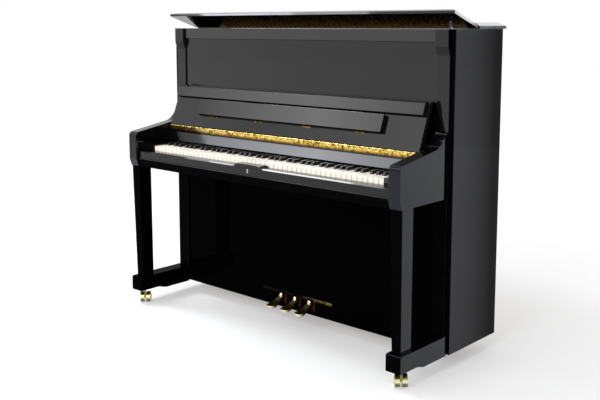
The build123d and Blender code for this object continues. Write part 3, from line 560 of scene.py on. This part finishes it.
# Casters: four double-wheeled brass casters, two under the toe blocks and two under the bottom board.
# Cast brass wheels, a pressed fork and a plate, clear-lacquered. The wheels' bright band and their darker
# tops and undersides are a painted sheen, set by how each face turns upwards.
# Each plate is screwed up into the wood; a domed cap closes the axle at either wheel.
# Painted sheen: olive on faces turned down, pale on faces turned sideways, brown on faces turned up.
CASTER_SHEEN_TONES = (
    (0.0, "#565a40"),
    (0.40, "#8b8a60"),
    (0.47, "#f1e8bd"),
    (0.66, "#e8d99c"),
    (0.76, "#8a7a40"),
    (1.0, "#5f5228"),
)
UPWARDS = (0, 0, 1)
caster_brass = polished_metal(
    "caster_brass_painted_sheen", CASTER_SHEEN_TONES, roughness=0.3, edge_round=0.0012, sheen_facing=UPWARDS
)
casters = [f"{end}_{hand}" for end in ("front", "rear") for hand in ("left", "right")]
dress(caster_brass, *[f"{name}_caster_{piece}" for name in casters for piece in ("fork", "wheels")])

CASTER_TURN = radians(42)
AXLE_HALF = 0.022
CAP_OUTLINE = (
    (0, 0.0016),
    (0.003, 0.0014),
    (0.005, 0.0004),
    (0.0056, -0.0005),
    (0.013, -0.0005),
    (0.0135, 0.0006),
    (0.015, 0.0006),
    (0.0155, -0.0008),
    (0, -0.0008),
)
for name in casters:
    low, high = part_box(f"{name}_caster_wheels")
    places = [
        Matrix.Translation((low + high) / 2)
        @ Matrix.Rotation(CASTER_TURN, 4, "Z")
        @ Matrix.Rotation(side * pi / 2, 4, "Y")
        @ Matrix.Translation((0, 0, AXLE_HALF))
        for side in (-1, 1)
    ]
    cap = turned(CAP_OUTLINE, steps=20)
    set_piece(f"{name}_axle_caps", cap, caster_brass, f"{name}_caster_wheels", places)

# Key bed, key slip, key blocks and nameboard: the shelf for the keyboard and the rails that frame it.
# Board with solid edges in black polyester; the slip's top edge is chamfered, and its hump for the lock
# has a facing to the front. Screws hold the slip from below and the blocks from the top.
# Painted shade and highlight: the nameboard mirrors most near x = 0.2, the key bed less on its low front and
# undersides, and each rail has a shine of its own.
NAME_FADE = ("X", 0.2, 0.8, 0.17)
slip_finish = black_polyester("black_polyester_key_slip", shine=0.27)
dress(black_polyester("black_polyester_key_bed", shine=0.5, low_front=LOW_FRONT), "key_bed")
dress(black_polyester("black_polyester_keyboard_rails", shine=0.5), "key_blocks")
dress(black_polyester("black_polyester_nameboard", shine=0.56, fade=NAME_FADE), "nameboard")
dress(slip_finish, "key_slip")

slip_low, slip_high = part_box("key_slip")
HUMP_FOOT = 0.077
HUMP_CREST = 0.065
HUMP_RISE = 0.008
HUMP_ROUND = 0.002
SLIP_CHAMFER = 0.005
FEATHER_EDGE = 0.0001
chamfer_foot = slip_high.z - HUMP_RISE - SLIP_CHAMFER
crest_rise = SLIP_CHAMFER + HUMP_RISE
foot_line = (
    (0, 0),
    (0, FEATHER_EDGE),
    (HUMP_ROUND, HUMP_ROUND + FEATHER_EDGE),
    (SLIP_CHAMFER, SLIP_CHAMFER),
)
crest_line = ((0, 0), (0, crest_rise - HUMP_ROUND), (HUMP_ROUND, crest_rise), (SLIP_CHAMFER, crest_rise))
stations = (
    (-HUMP_FOOT, foot_line),
    (-HUMP_CREST, crest_line),
    (HUMP_CREST, crest_line),
    (HUMP_FOOT, foot_line),
)
hump_face = bmesh.new()
for x, line in stations:
    corners = [hump_face.verts.new((x, slip_low.y + back, chamfer_foot + rise)) for back, rise in line]
    for pair in zip(corners, corners[1:] + corners[:1]):
        hump_face.edges.new(pair)
bmesh.ops.bridge_loops(hump_face, edges=hump_face.edges)
bmesh.ops.holes_fill(hump_face, edges=hump_face.edges, sides=len(foot_line))
bmesh.ops.recalc_face_normals(hump_face, faces=hump_face.faces)
set_piece("slip_hump_facing", hump_face, slip_finish, "case")

# Lock: a small escutcheon on the slip's hump, with the keyhole of the fallboard's lock.
# Nickelled brass sheet, pressed and polished; its keyhole is a thin black piece on the face, a painted shade
# for the hole.
# It is held on the slip's face by two pins.


def sweep(shape, step):
    """Sweeps the faces of a flat shape along a straight step."""
    moved = bmesh.ops.extrude_face_region(shape, geom=shape.faces[:])["geom"]
    corners = [item for item in moved if isinstance(item, bmesh.types.BMVert)]
    bmesh.ops.translate(shape, vec=step, verts=corners)


NICKEL_TONES = ((0.0, "#d6d0c4"), (1.0, "#a9a297"))
dress(polished_metal("polished_nickel", NICKEL_TONES, roughness=0.16, edge_round=0.0006), "lock")

lock_low, lock_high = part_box("lock")
lock_middle = (lock_low + lock_high) / 2
KEYHOLE_RADIUS = 0.0016
KEYHOLE_DROP = 0.0042
KEYHOLE_RISE = 0.002
KEYHOLE_DEPTH = 0.0005
SLOT_SHARE = 0.6
keyhole = bmesh.new()
bmesh.ops.create_circle(keyhole, cap_ends=True, segments=12, radius=KEYHOLE_RADIUS)
sweep(keyhole, (0, 0, KEYHOLE_DEPTH))
for corner in keyhole.verts:
    if corner.co.y < -KEYHOLE_RADIUS * SLOT_SHARE:
        corner.co.y -= KEYHOLE_DROP
bmesh.ops.recalc_face_normals(keyhole, faces=keyhole.faces)

# Painted shade for the keyhole: a matt black, a little uneven.
MOTTLE_WIDTH = 0.0011
keyhole_shade, hole_tree, hole_place = start_material("keyhole_painted_shade")
hole_grain = add_node(hole_tree, "TexNoise", {"Vector": hole_place, "Scale": 1 / MOTTLE_WIDTH})
hole_rough = add_node(
    hole_tree, "MapRange", {"Value": hole_grain.outputs["Fac"], "To Min": 0.6, "To Max": 0.9}
)
end_material(hole_tree, base_color=linear("#060505"), roughness=hole_rough.outputs[0])
set_piece(
    "keyhole",
    keyhole,
    keyhole_shade,
    "case",
    [Matrix.Translation((lock_middle.x, lock_low.y, lock_middle.z + KEYHOLE_RISE)) @ facing_front],
)

# Keyboard: 52 naturals and 36 sharps, which rock on the balance rail of the key frame.
# Spruce sticks with glued acrylic covers on the naturals and dyed blackwood blocks for the sharps.
# The covers are polished, and the sharps are waxed to a satin.


# Polished acrylic covers: a warm white gloss, with a grey painted along each joint, a painted shade where
# the gaps between keys are dark.
NATURALS = 52
KEYBOARD_WIDTH = 1.225
KEY_PITCH = KEYBOARD_WIDTH / NATURALS
KEY_EDGE = 0.0008
CLOUD_WIDTH = 0.02
JOINT_HALF = 0.0005
JOINT_SHADE_REACH = 0.0016
JOINT_SHADE_GREY = "#a8a193"


def key_acrylic():
    material, tree, place = start_material("polished_key_acrylic")
    cloud = add_node(tree, "TexNoise", {"Vector": place, "Scale": 1 / CLOUD_WIDTH, "Detail": 3.0})
    cover = add_node(
        tree,
        "MixRGB",
        {"Fac": cloud.outputs["Fac"], "Color1": linear("#fdf9ee"), "Color2": linear("#f4eddd")},
    )
    along = add_node(tree, "SeparateXYZ", {0: place}).outputs["X"]
    reach = add_node(tree, "Math", {0: along, 1: -KEYBOARD_WIDTH / 2}, operation="SUBTRACT").outputs[0]
    from_joint = add_node(tree, "Math", {0: reach, 1: KEY_PITCH / 2}, operation="PINGPONG").outputs[0]
    joint_shade = add_node(
        tree,
        "MapRange",
        {"Value": from_joint, "From Min": JOINT_HALF, "From Max": JOINT_SHADE_REACH, "To Min": 1.0, "To Max": 0.0},
    )
    colour = add_node(
        tree,
        "MixRGB",
        {"Fac": joint_shade.outputs[0], "Color1": cover.outputs["Color"], "Color2": linear(JOINT_SHADE_GREY)},
    )
    polish = add_node(tree, "MapRange", {"Value": cloud.outputs["Fac"], "To Min": 0.1, "To Max": 0.22})
    edge = add_node(tree, "Bevel", {"Radius": KEY_EDGE}, samples=4)
    end_material(
        tree,
        base_color=colour.outputs["Color"],
        roughness=polish.outputs[0],
        normal=edge.outputs[0],
        ior=1.49,
    )
    return material


# Waxed blackwood: a close-grained black with a satin sheen and softly rounded edges.
SHARP_BLACK = "#0c0a0a"
SHARP_SHADE = 0.9
SHARP_GRAIN = 0.003
SHARP_EDGE = 0.0009
SHARP_SATIN = (0.21, 0.39)


def waxed_blackwood():
    material, tree, place = start_material("waxed_blackwood")
    grain = add_node(tree, "TexNoise", {"Vector": place, "Scale": 1 / SHARP_GRAIN, "Detail": 4.0})
    black = linear(SHARP_BLACK)
    shaded = [part * SHARP_SHADE for part in black[:3]] + [1.0]
    shade = add_node(tree, "MixRGB", {"Fac": grain.outputs["Fac"], "Color1": black, "Color2": shaded})
    least, most = SHARP_SATIN
    satin = add_node(tree, "MapRange", {"Value": grain.outputs["Fac"], "To Min": least, "To Max": most})
    edge = add_node(tree, "Bevel", {"Radius": SHARP_EDGE}, samples=4)
    relief = add_node(
        tree,
        "Bump",
        {"Height": grain.outputs["Fac"], "Strength": 0.05, "Distance": 0.0005, "Normal": edge.outputs[0]},
    )
    end_material(
        tree,
        base_color=shade.outputs["Color"],
        roughness=satin.outputs[0],
        normal=relief.outputs["Normal"],
        ior=1.5,
    )
    return material


dress(key_acrylic(), "white_keys")
dress(waxed_blackwood(), "black_keys")
BEECH_RING = 0.003
beech = planed_wood("planed_beech", "#d0a273", "#b07f50", BEECH_RING, ALONG_Z, roughness=0.5)
dress(beech, "key_frame")

# Action: whippens, hammers, dampers and the muffler rail, on the action frame.
# Maple and beech parts on felt-bushed pins; the hammer heads carry pressed wool felt.
# The action frame stands on the key bed and is bolted to the plate.
dress(beech, "white_whippens", "black_whippens")


# Pale maple with a satin sheen, capped with dull white pressed felt. The felt starts at a depth and
# above a height: at the striking end of a hammer, and on the face of a damper.
def felted_maple(name, felt_start, felt_low):
    material, tree, place = start_material(name)
    point = add_node(tree, "SeparateXYZ", {0: place})
    deep = add_node(tree, "Math", {0: point.outputs["Y"], 1: felt_start}, operation="GREATER_THAN")
    high = add_node(tree, "Math", {0: point.outputs["Z"], 1: felt_low}, operation="GREATER_THAN")
    felted = add_node(tree, "Math", {0: deep.outputs[0], 1: high.outputs[0]}, operation="MULTIPLY").outputs[0]
    nap = add_node(tree, "TexNoise", {"Vector": place, "Scale": 1 / NAP_WIDTH, "Detail": 4.0})
    felt = add_node(
        tree, "MixRGB", {"Fac": nap.outputs["Fac"], "Color1": linear("#d9d3c2"), "Color2": linear("#f1ecdf")}
    )
    maple = add_node(
        tree, "MixRGB", {"Fac": nap.outputs["Fac"], "Color1": linear("#b98c5c"), "Color2": linear("#d8b184")}
    )
    colour = add_node(
        tree, "MixRGB", {"Fac": felted, "Color1": maple.outputs["Color"], "Color2": felt.outputs["Color"]}
    )
    dull = add_node(tree, "MapRange", {"Value": felted, "To Min": 0.5, "To Max": 0.95})
    relief = add_node(tree, "Bump", {"Height": nap.outputs["Fac"], "Strength": 0.4, "Distance": 0.0005})
    end_material(
        tree,
        base_color=colour.outputs["Color"],
        roughness=dull.outputs[0],
        normal=relief.outputs["Normal"],
        ior=1.4,
    )
    return material


HAMMER_FELT_START = 0.088
HAMMER_FELT_LOW = 0.945
DAMPER_FELT_START = 0.156
hammer_finish = felted_maple("maple_and_pressed_felt", HAMMER_FELT_START, HAMMER_FELT_LOW)
dress(hammer_finish, "white_hammers", "black_hammers")
dress(felted_maple("damper_felt_and_maple", DAMPER_FELT_START, felt_low=0.0), "dampers")
dress(red_felt, "muffler_rail")
MAPLE_RING = 0.003
action_wood = planed_wood("lacquered_action_maple", "#c79b68", "#a67c4b", MAPLE_RING, ALONG_X, roughness=0.4)
dress(action_wood, "action_frame")

# Pedals: three brass pedals through slots in the bottom rail, with their plate and lifting rods.
# Cast brass, filed and polished. Its brightness on faces turned to the front, as on the steep neck and the
# rim of the toe, is a painted sheen. They pivot on the bottom board; the plate is a thin strip held by
# screws, and red felt is glued beside each slot.
# Painted sheen: pale cream on faces turned to the front, dark brown on faces turned aside or back.
PEDAL_SHEEN_TONES = ((0.0, "#4a3a16"), (0.52, "#6b5a2a"), (0.66, "#8d7a45"), (0.85, "#d9c595"), (1.0, "#f0dfb8"))
PLATE_TONES = ((0.0, "#0a0905"), (0.25, "#4a431f"), (1.0, "#857a45"))
STEEL_TONES = ((0.0, "#c9c9c7"), (1.0, "#8d8d8b"))
FRONTWARDS = (0, -1, 0)
pedals = [f"{place}_pedal" for place in ("left", "middle", "right")]
pedal_brass = polished_metal(
    "pedal_brass_painted_sheen", PEDAL_SHEEN_TONES, roughness=0.3, edge_round=0.0015, sheen_facing=FRONTWARDS
)
# The plate keeps its darkest tone left of x = 0.03 and brightens towards x = 0.16.
plate_brass = polished_metal(
    "darkened_plate_brass",
    PLATE_TONES,
    roughness=0.3,
    edge_round=0.0004,
    patch_width=0.05,
    darkened=("X", 0.03, 0.16),
)
rod_steel = polished_metal("bright_steel", STEEL_TONES, roughness=0.25, edge_round=0.0004, grain_width=0.001)
dress(pedal_brass, *pedals)
dress(plate_brass, "pedal_plate")
dress(rod_steel, *[f"{name}_rod" for name in pedals])

NECK_OUTLINE = ((-0.037, 0.086), (-0.0335, 0.112), (-0.030, 0.119), (-0.0235, 0.119), (-0.0235, 0.098))
NECK_WIDTH = 0.014
NECK_ROUND = 0.003
for name in pedals:
    low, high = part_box(name)
    left = (low.x + high.x - NECK_WIDTH) / 2
    neck = bmesh.new()
    neck.faces.new([neck.verts.new((left, y, z)) for y, z in NECK_OUTLINE])
    sweep(neck, (NECK_WIDTH, 0, 0))
    bmesh.ops.recalc_face_normals(neck, faces=neck.faces)
    bmesh.ops.bevel(
        neck, geom=neck.edges, offset=NECK_ROUND, segments=3, profile=0.5, affect="EDGES", material=-1
    )
    set_piece(f"{name}_neck", neck, pedal_brass, name)

MIDDLE_SLOT = 0.001
SLOT_SPACING = 0.078
SLOT_HALF = 0.016
SLOT_HEIGHT = 0.0955
SLOT_FELT_WIDE = 0.006
SLOT_FELT_THICK = 0.002
SLOT_FELT_HIGH = 0.040
SLOT_FELT_ROUND = 0.0006
rail_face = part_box("bottom_rail")[0].y
slot_felts = [
    (
        (
            MIDDLE_SLOT + step * SLOT_SPACING + SLOT_HALF + SLOT_FELT_WIDE / 2,
            rail_face - SLOT_FELT_THICK / 2,
            SLOT_HEIGHT,
        ),
        (SLOT_FELT_WIDE, SLOT_FELT_THICK, SLOT_FELT_HIGH),
    )
    for step in (-1, 0, 1)
]
set_piece(
    "pedal_slot_felts",
    rounded_bars(slot_felts, SLOT_FELT_ROUND),
    wool_felt("dark_red_woven_felt", "#5c1a14", "#3a0e0a"),
    "case",
)

PLATE_SCREW_OUTLINE = ((0, 0.0009), (0.0012, 0.0008), (0.0022, 0.0001), (0.0022, -0.0005), (0, -0.0005))
PLATE_SCREW_INSET = 0.008
strip_low, strip_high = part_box("pedal_plate")
screw_columns = (
    strip_low.x + PLATE_SCREW_INSET,
    MIDDLE_SLOT - SLOT_SPACING / 2,
    MIDDLE_SLOT + SLOT_SPACING / 2,
    strip_high.x - PLATE_SCREW_INSET,
)
set_piece(
    "pedal_plate_screws",
    turned(PLATE_SCREW_OUTLINE, steps=10),
    plate_brass,
    "case",
    [
        Matrix.Translation((x, strip_low.y, (strip_low.z + strip_high.z) / 2)) @ facing_front
        for x in screw_columns
    ],
)

# Bottom panel and bottom rail: the closed front between the legs.
# Board in black polyester, which stands on the rail and is held by a spring latch at its top.
# The low front gets painted shade: its mirror is almost taken away and its black is deepened.
dress(dull_black_and_shade, "bottom_panel", "bottom_rail")

# Fallboard: the folding key cover with its lip, its long brass hinge and the hinged music shelf.
# Board with solid edges in black polyester, rubbed out and buffed.
# It turns on a piano hinge that is screwed to the nameboard; the shelf has four small brass hinges.
# Painted shade and highlight: the fallboard, lip and shelf mirror most at one place along their length, the
# lip's and shelf's undersides hardly at all, and their shines differ part by part.
PANEL_FADE = ("X", 0.7, 0.8, 0.25)
LIP_FADE = ("X", 0.15, 0.78, 0.34)
SHELF_FADE = ("X", 0.2, 0.7, 0.27)
UNDERSIDE = (0.0, 0.003)
panel_finish = black_polyester("black_polyester_fallboard", shine=0.46, fade=PANEL_FADE)
lip_finish = black_polyester("black_polyester_lip", shine=0.84, fade=LIP_FADE, low_front=UNDERSIDE)
shelf_finish = black_polyester("black_polyester_shelf", shine=0.95, fade=SHELF_FADE, low_front=UNDERSIDE)
dress(panel_finish, "fallboard_panel")
dress(lip_finish, "fallboard_lip")
dress(shelf_finish, "music_shelf")

HINGE_TONES = ((0.0, "#4a3a12"), (0.3, "#ab8835"), (0.65, "#d4b45e"), (1.0, "#f6e6ae"))
SHELF_HINGE_TONES = ((0.0, "#3a2c12"), (1.0, "#8c6f38"))
# The fallboard hinge's leaf is darkened towards its lower edge, a painted shade; its patches are tone at
# random.
hinge_brass = polished_metal(
    "rolled_hinge_brass",
    HINGE_TONES,
    roughness=0.2,
    edge_round=0.0006,
    patch_width=0.010,
    darkened=("Z", 0.766, 0.778),
)
dress(hinge_brass, "fallboard_hinge", "lid_hinge")
dress(
    polished_metal("dulled_shelf_brass", SHELF_HINGE_TONES, roughness=0.3, edge_round=0.0006), "shelf_hinges"
)

HINGE_SCREWS = 18
HINGE_SCREW_OUTLINE = ((0, 0.0008), (0.0014, 0.0007), (0.0027, 0.0001), (0.0027, -0.0004), (0, -0.0004))
HINGE_SCREW_RISE = 0.008
LEAF_FACE = -0.1234
leaf_low, leaf_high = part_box("fallboard_hinge")
screw_step = (leaf_high.x - leaf_low.x) / HINGE_SCREWS
set_piece(
    "fallboard_hinge_screws",
    turned(HINGE_SCREW_OUTLINE, steps=10),
    hinge_brass,
    "case",
    [
        Matrix.Translation((leaf_low.x + (n + 0.5) * screw_step, LEAF_FACE, leaf_low.z + HINGE_SCREW_RISE))
        @ facing_front
        for n in range(HINGE_SCREWS)
    ],
)

# Shelf shade strips: strips on the fallboard under the music shelf, between its hinges.
# Black woven wool, cut in strips about as thick as a card, a painted shade: a dark line where shade falls
# under the shelf. They are glued to the fallboard.
SHELF_FELT_SPANS = ((-0.490, -0.417), (-0.369, -0.155), (-0.107, 0.107), (0.155, 0.369), (0.417, 0.490))
SHELF_FELT_HIGH = 0.0048
SHELF_FELT_THICK = 0.0012
SHELF_FELT_ROUND = 0.0004
SHELF_FOOT = (-0.0999, 0.8408)
FALLBOARD_LEAN = radians(21.0)
black_felt = wool_felt("black_woven_felt", "#1c1b1b", "#0d0d0d")
shelf_shade_strips = [
    (
        ((start + end) / 2, -SHELF_FELT_THICK / 2, -SHELF_FELT_HIGH / 2),
        (end - start, SHELF_FELT_THICK, SHELF_FELT_HIGH),
    )
    for start, end in SHELF_FELT_SPANS
]
set_piece(
    "shelf_shade_strips",
    rounded_bars(shelf_shade_strips, SHELF_FELT_ROUND),
    black_felt,
    "fallboard",
    [Matrix.Translation((0, *SHELF_FOOT)) @ Matrix.Rotation(-FALLBOARD_LEAN, 4, "X")],
)

# Ledge behind the nameboard, which closes the case over the key sticks when the fallboard is shut.
# Thin board in dull black, since it is seen only with the fallboard forward.
# It is glued to the nameboard's back and runs under the upper panel.
LEDGE_THICK = 0.010
LEDGE_DROP = 0.004
LEDGE_GAP = 0.001
LEDGE_ROUND = 0.0015
ledge_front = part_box("nameboard")[1]
panel_low, panel_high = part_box("upper_panel")
ledge_middle = (0, (ledge_front.y + panel_high.y) / 2, ledge_front.z - LEDGE_DROP - LEDGE_THICK / 2)
ledge_size = (panel_high.x - panel_low.x - 2 * LEDGE_GAP, panel_high.y - ledge_front.y, LEDGE_THICK)
ledge = rounded_bars([(ledge_middle, ledge_size)], LEDGE_ROUND)
set_piece("fallboard_ledge", ledge, dull_black_and_shade, "case")

# Upper front: the upper panel and the top rail above it.
# Board in black polyester; the panel lifts out for tuning, so a felt strip quiets the joint.
# The panel stands in grooves between the stiles, and the rail is fixed to them.
# Painted highlight and shade: the upper panel and the top rail are given different shines of the one lacquer.
dress(black_polyester("black_polyester_upper_front", shine=0.56), "upper_panel")
dress(black_polyester("black_polyester_top_rail", shine=0.85), "top_rail")
SEAM_FELT_THICK = 0.0016
SEAM_FELT_HIGH = 0.010
SEAM_FELT_ROUND = 0.0005
rail_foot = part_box("top_rail")[0].z
seam_middle = (0, panel_high.y + SEAM_FELT_THICK / 2, (panel_high.z + rail_foot) / 2)
seam_size = (panel_high.x - panel_low.x, SEAM_FELT_THICK, SEAM_FELT_HIGH)
seam_felt = rounded_bars([(seam_middle, seam_size)], SEAM_FELT_ROUND)
set_piece("panel_seam_felt", seam_felt, black_felt, "case")

# Lid: the fixed rear section, the front flap on a piano hinge, and the small prop that holds the flap.
# Board in black polyester with long chamfers on its upper edges, buffed on both faces.
# The rear section is screwed to the sides, and the prop hangs from a pin on the right side.
PROP_TONES = ((0.0, "#3a3436"), (1.0, "#8b8288"))
dress(black_polyester("black_polyester_lid", shine=0.5), "lid_rear", "lid_flap")
dress(polished_metal("browned_prop_steel", PROP_TONES, roughness=0.22, edge_round=0.0008), "lid_prop")

# Studio: a white floor with a soft shadow in an even white room. Panels hang at the upper left, where the
# fallboard, the nameboard, the slip's chamfer and the lid's front edge mirror them. One light overhead
# fills the keys, one in front reaches under the lid, and two behind draw its right end and its bevel.
FLOOR_PALE = "#bcbcbc"
FLOOR_SIZE = 40.0
GLOW_START = 1.2
GLOW_END = 5.0
GLOW_NEAR = 0.36
GLOW_FAR = 0.64


def seen_rays(tree):
    """One for rays from the eye, a mirror or glass, nought for scattered light."""
    path = add_node(tree, "LightPath").outputs
    seen = path["Is Camera Ray"]
    for kind in ("Is Glossy Ray", "Is Transmission Ray"):
        seen = add_node(tree, "Math", {0: seen, 1: path[kind]}, operation="MAXIMUM").outputs[0]
    return seen


# Matt floor paint: an even pale grey without a mirror. A glow for seen rays alone lifts it to white.
floor_shape = bmesh.new()
bmesh.ops.create_grid(floor_shape, x_segments=1, y_segments=1, size=FLOOR_SIZE / 2)
floor_mesh = bpy.data.meshes.new("floor")
floor_shape.to_mesh(floor_mesh)
floor_shape.free()
floor = bpy.data.objects.new("floor", floor_mesh)
scene.collection.objects.link(floor)
floor_paint, floor_tree, floor_place = start_material("matt_floor_paint")
floor_reach = add_node(floor_tree, "VectorMath", {0: floor_place}, operation="LENGTH").outputs["Value"]
floor_glow = add_node(
    floor_tree,
    "MapRange",
    {
        "Value": floor_reach,
        "From Min": GLOW_START,
        "From Max": GLOW_END,
        "To Min": GLOW_NEAR,
        "To Max": GLOW_FAR,
    },
)
glow = add_node(
    floor_tree, "Math", {0: floor_glow.outputs[0], 1: seen_rays(floor_tree)}, operation="MULTIPLY"
)
end_material(
    floor_tree,
    base_color=linear(FLOOR_PALE),
    roughness=0.9,
    specular_ior_level=0.0,
    emission_color=linear("#ffffff"),
    emission_strength=glow.outputs[0],
)
floor_mesh.materials.append(floor_paint)

ROOM_FILL = 0.8
world = bpy.data.worlds.new("white_room")
scene.world = world
world.use_nodes = True
room = world.node_tree
room.nodes.clear()
strength = add_node(room, "MapRange", {"Value": seen_rays(room), "To Min": ROOM_FILL, "To Max": 1.0})
sky = add_node(room, "Background", {"Color": linear("#ffffff"), "Strength": strength.outputs[0]})
add_node(room, "OutputWorld", {"Surface": sky.outputs["Background"]})

DAYLIGHT = (0.93, 0.95, 1.0)
NEUTRAL = (1.0, 1.0, 1.0)
SOFT_LIGHTS = (
    # name, place, aimed at, width, height, brightness against the white room, colour
    ("overhead_light", (0.1, -0.9, 4.2), None, 3.4, 2.4, 1.9, NEUTRAL),
    ("long_softbox", (-3.5, -3.2, 3.0), None, 4.6, 1.5, 1.0, NEUTRAL),
    ("key_softbox", (-2.4, -2.0, 3.0), None, 2.6, 0.38, 6.0, DAYLIGHT),
    ("key_fill", (-3.86, -2.0, 3.0), None, 0.3, 0.8, 0.8, DAYLIGHT),
    ("edge_light", (-1.8, -0.8, 3.0), None, 0.9, 0.6, 27.0, DAYLIGHT),
    ("edge_end_light", (-1.22, -0.8, 3.0), None, 0.26, 0.6, 8.0, DAYLIGHT),
    ("edge_fill", (-2.66, -0.8, 3.0), None, 0.27, 0.6, 17.0, DAYLIGHT),
    ("edge_far_fill", (-2.94, -0.8, 3.0), None, 0.29, 0.6, 6.0, DAYLIGHT),
    ("front_softbox", (0.3, -4.2, 2.6), (0.0, 0.1, 1.2), 3.0, 0.9, 11.0, NEUTRAL),
    ("lid_edge_light", (-3.3, -2.32, 3.0), None, 1.4, 0.18, 14.0, DAYLIGHT),
    ("lid_edge_fill", (-2.2, -2.32, 3.0), None, 0.8, 0.18, 6.0, DAYLIGHT),
    ("lid_end_light", (3.88, 5.16, 1.46), (0.74, 0.05, 1.25), 1.0, 0.44, 8.0, DAYLIGHT),
    ("rear_softbox", (-0.35, 3.8, 2.9), (0.5, 0.2, 1.2), 2.6, 1.4, 1.7, DAYLIGHT),
)
for name, place, target, width, height, brightness, colour in SOFT_LIGHTS:
    lamp = bpy.data.lights.new(name, "AREA")
    lamp.shape = "RECTANGLE"
    lamp.size = width
    lamp.size_y = height
    lamp.energy = brightness * pi * width * height
    lamp.color = colour
    light = bpy.data.objects.new(name, lamp)
    light.location = place
    if target:
        light.rotation_euler = (Vector(target) - Vector(place)).to_track_quat("-Z", "Y").to_euler()
    light.visible_camera = False
    scene.collection.objects.link(light)

# Camera where the photograph was taken from, level with the lid and to the right of the piano.
# A small drop of the lens keeps the uprights nearly parallel, as they are in the photograph.
LENS_MM = 52.62
SENSOR_MM = 36.0
LENS_DROP = -0.10
CAMERA_PLACE = (2.358, -2.597, 1.221)
CAMERA_TURN = 42.21
CAMERA_DIP = 7.42

camera_lens = bpy.data.cameras.new("camera")
camera_lens.lens = LENS_MM
camera_lens.sensor_width = SENSOR_MM
camera_lens.shift_y = LENS_DROP
camera = bpy.data.objects.new("camera", camera_lens)
camera.location = CAMERA_PLACE
camera.rotation_euler = (radians(90 - CAMERA_DIP), 0, radians(CAMERA_TURN))
scene.collection.objects.link(camera)
scene.camera = camera
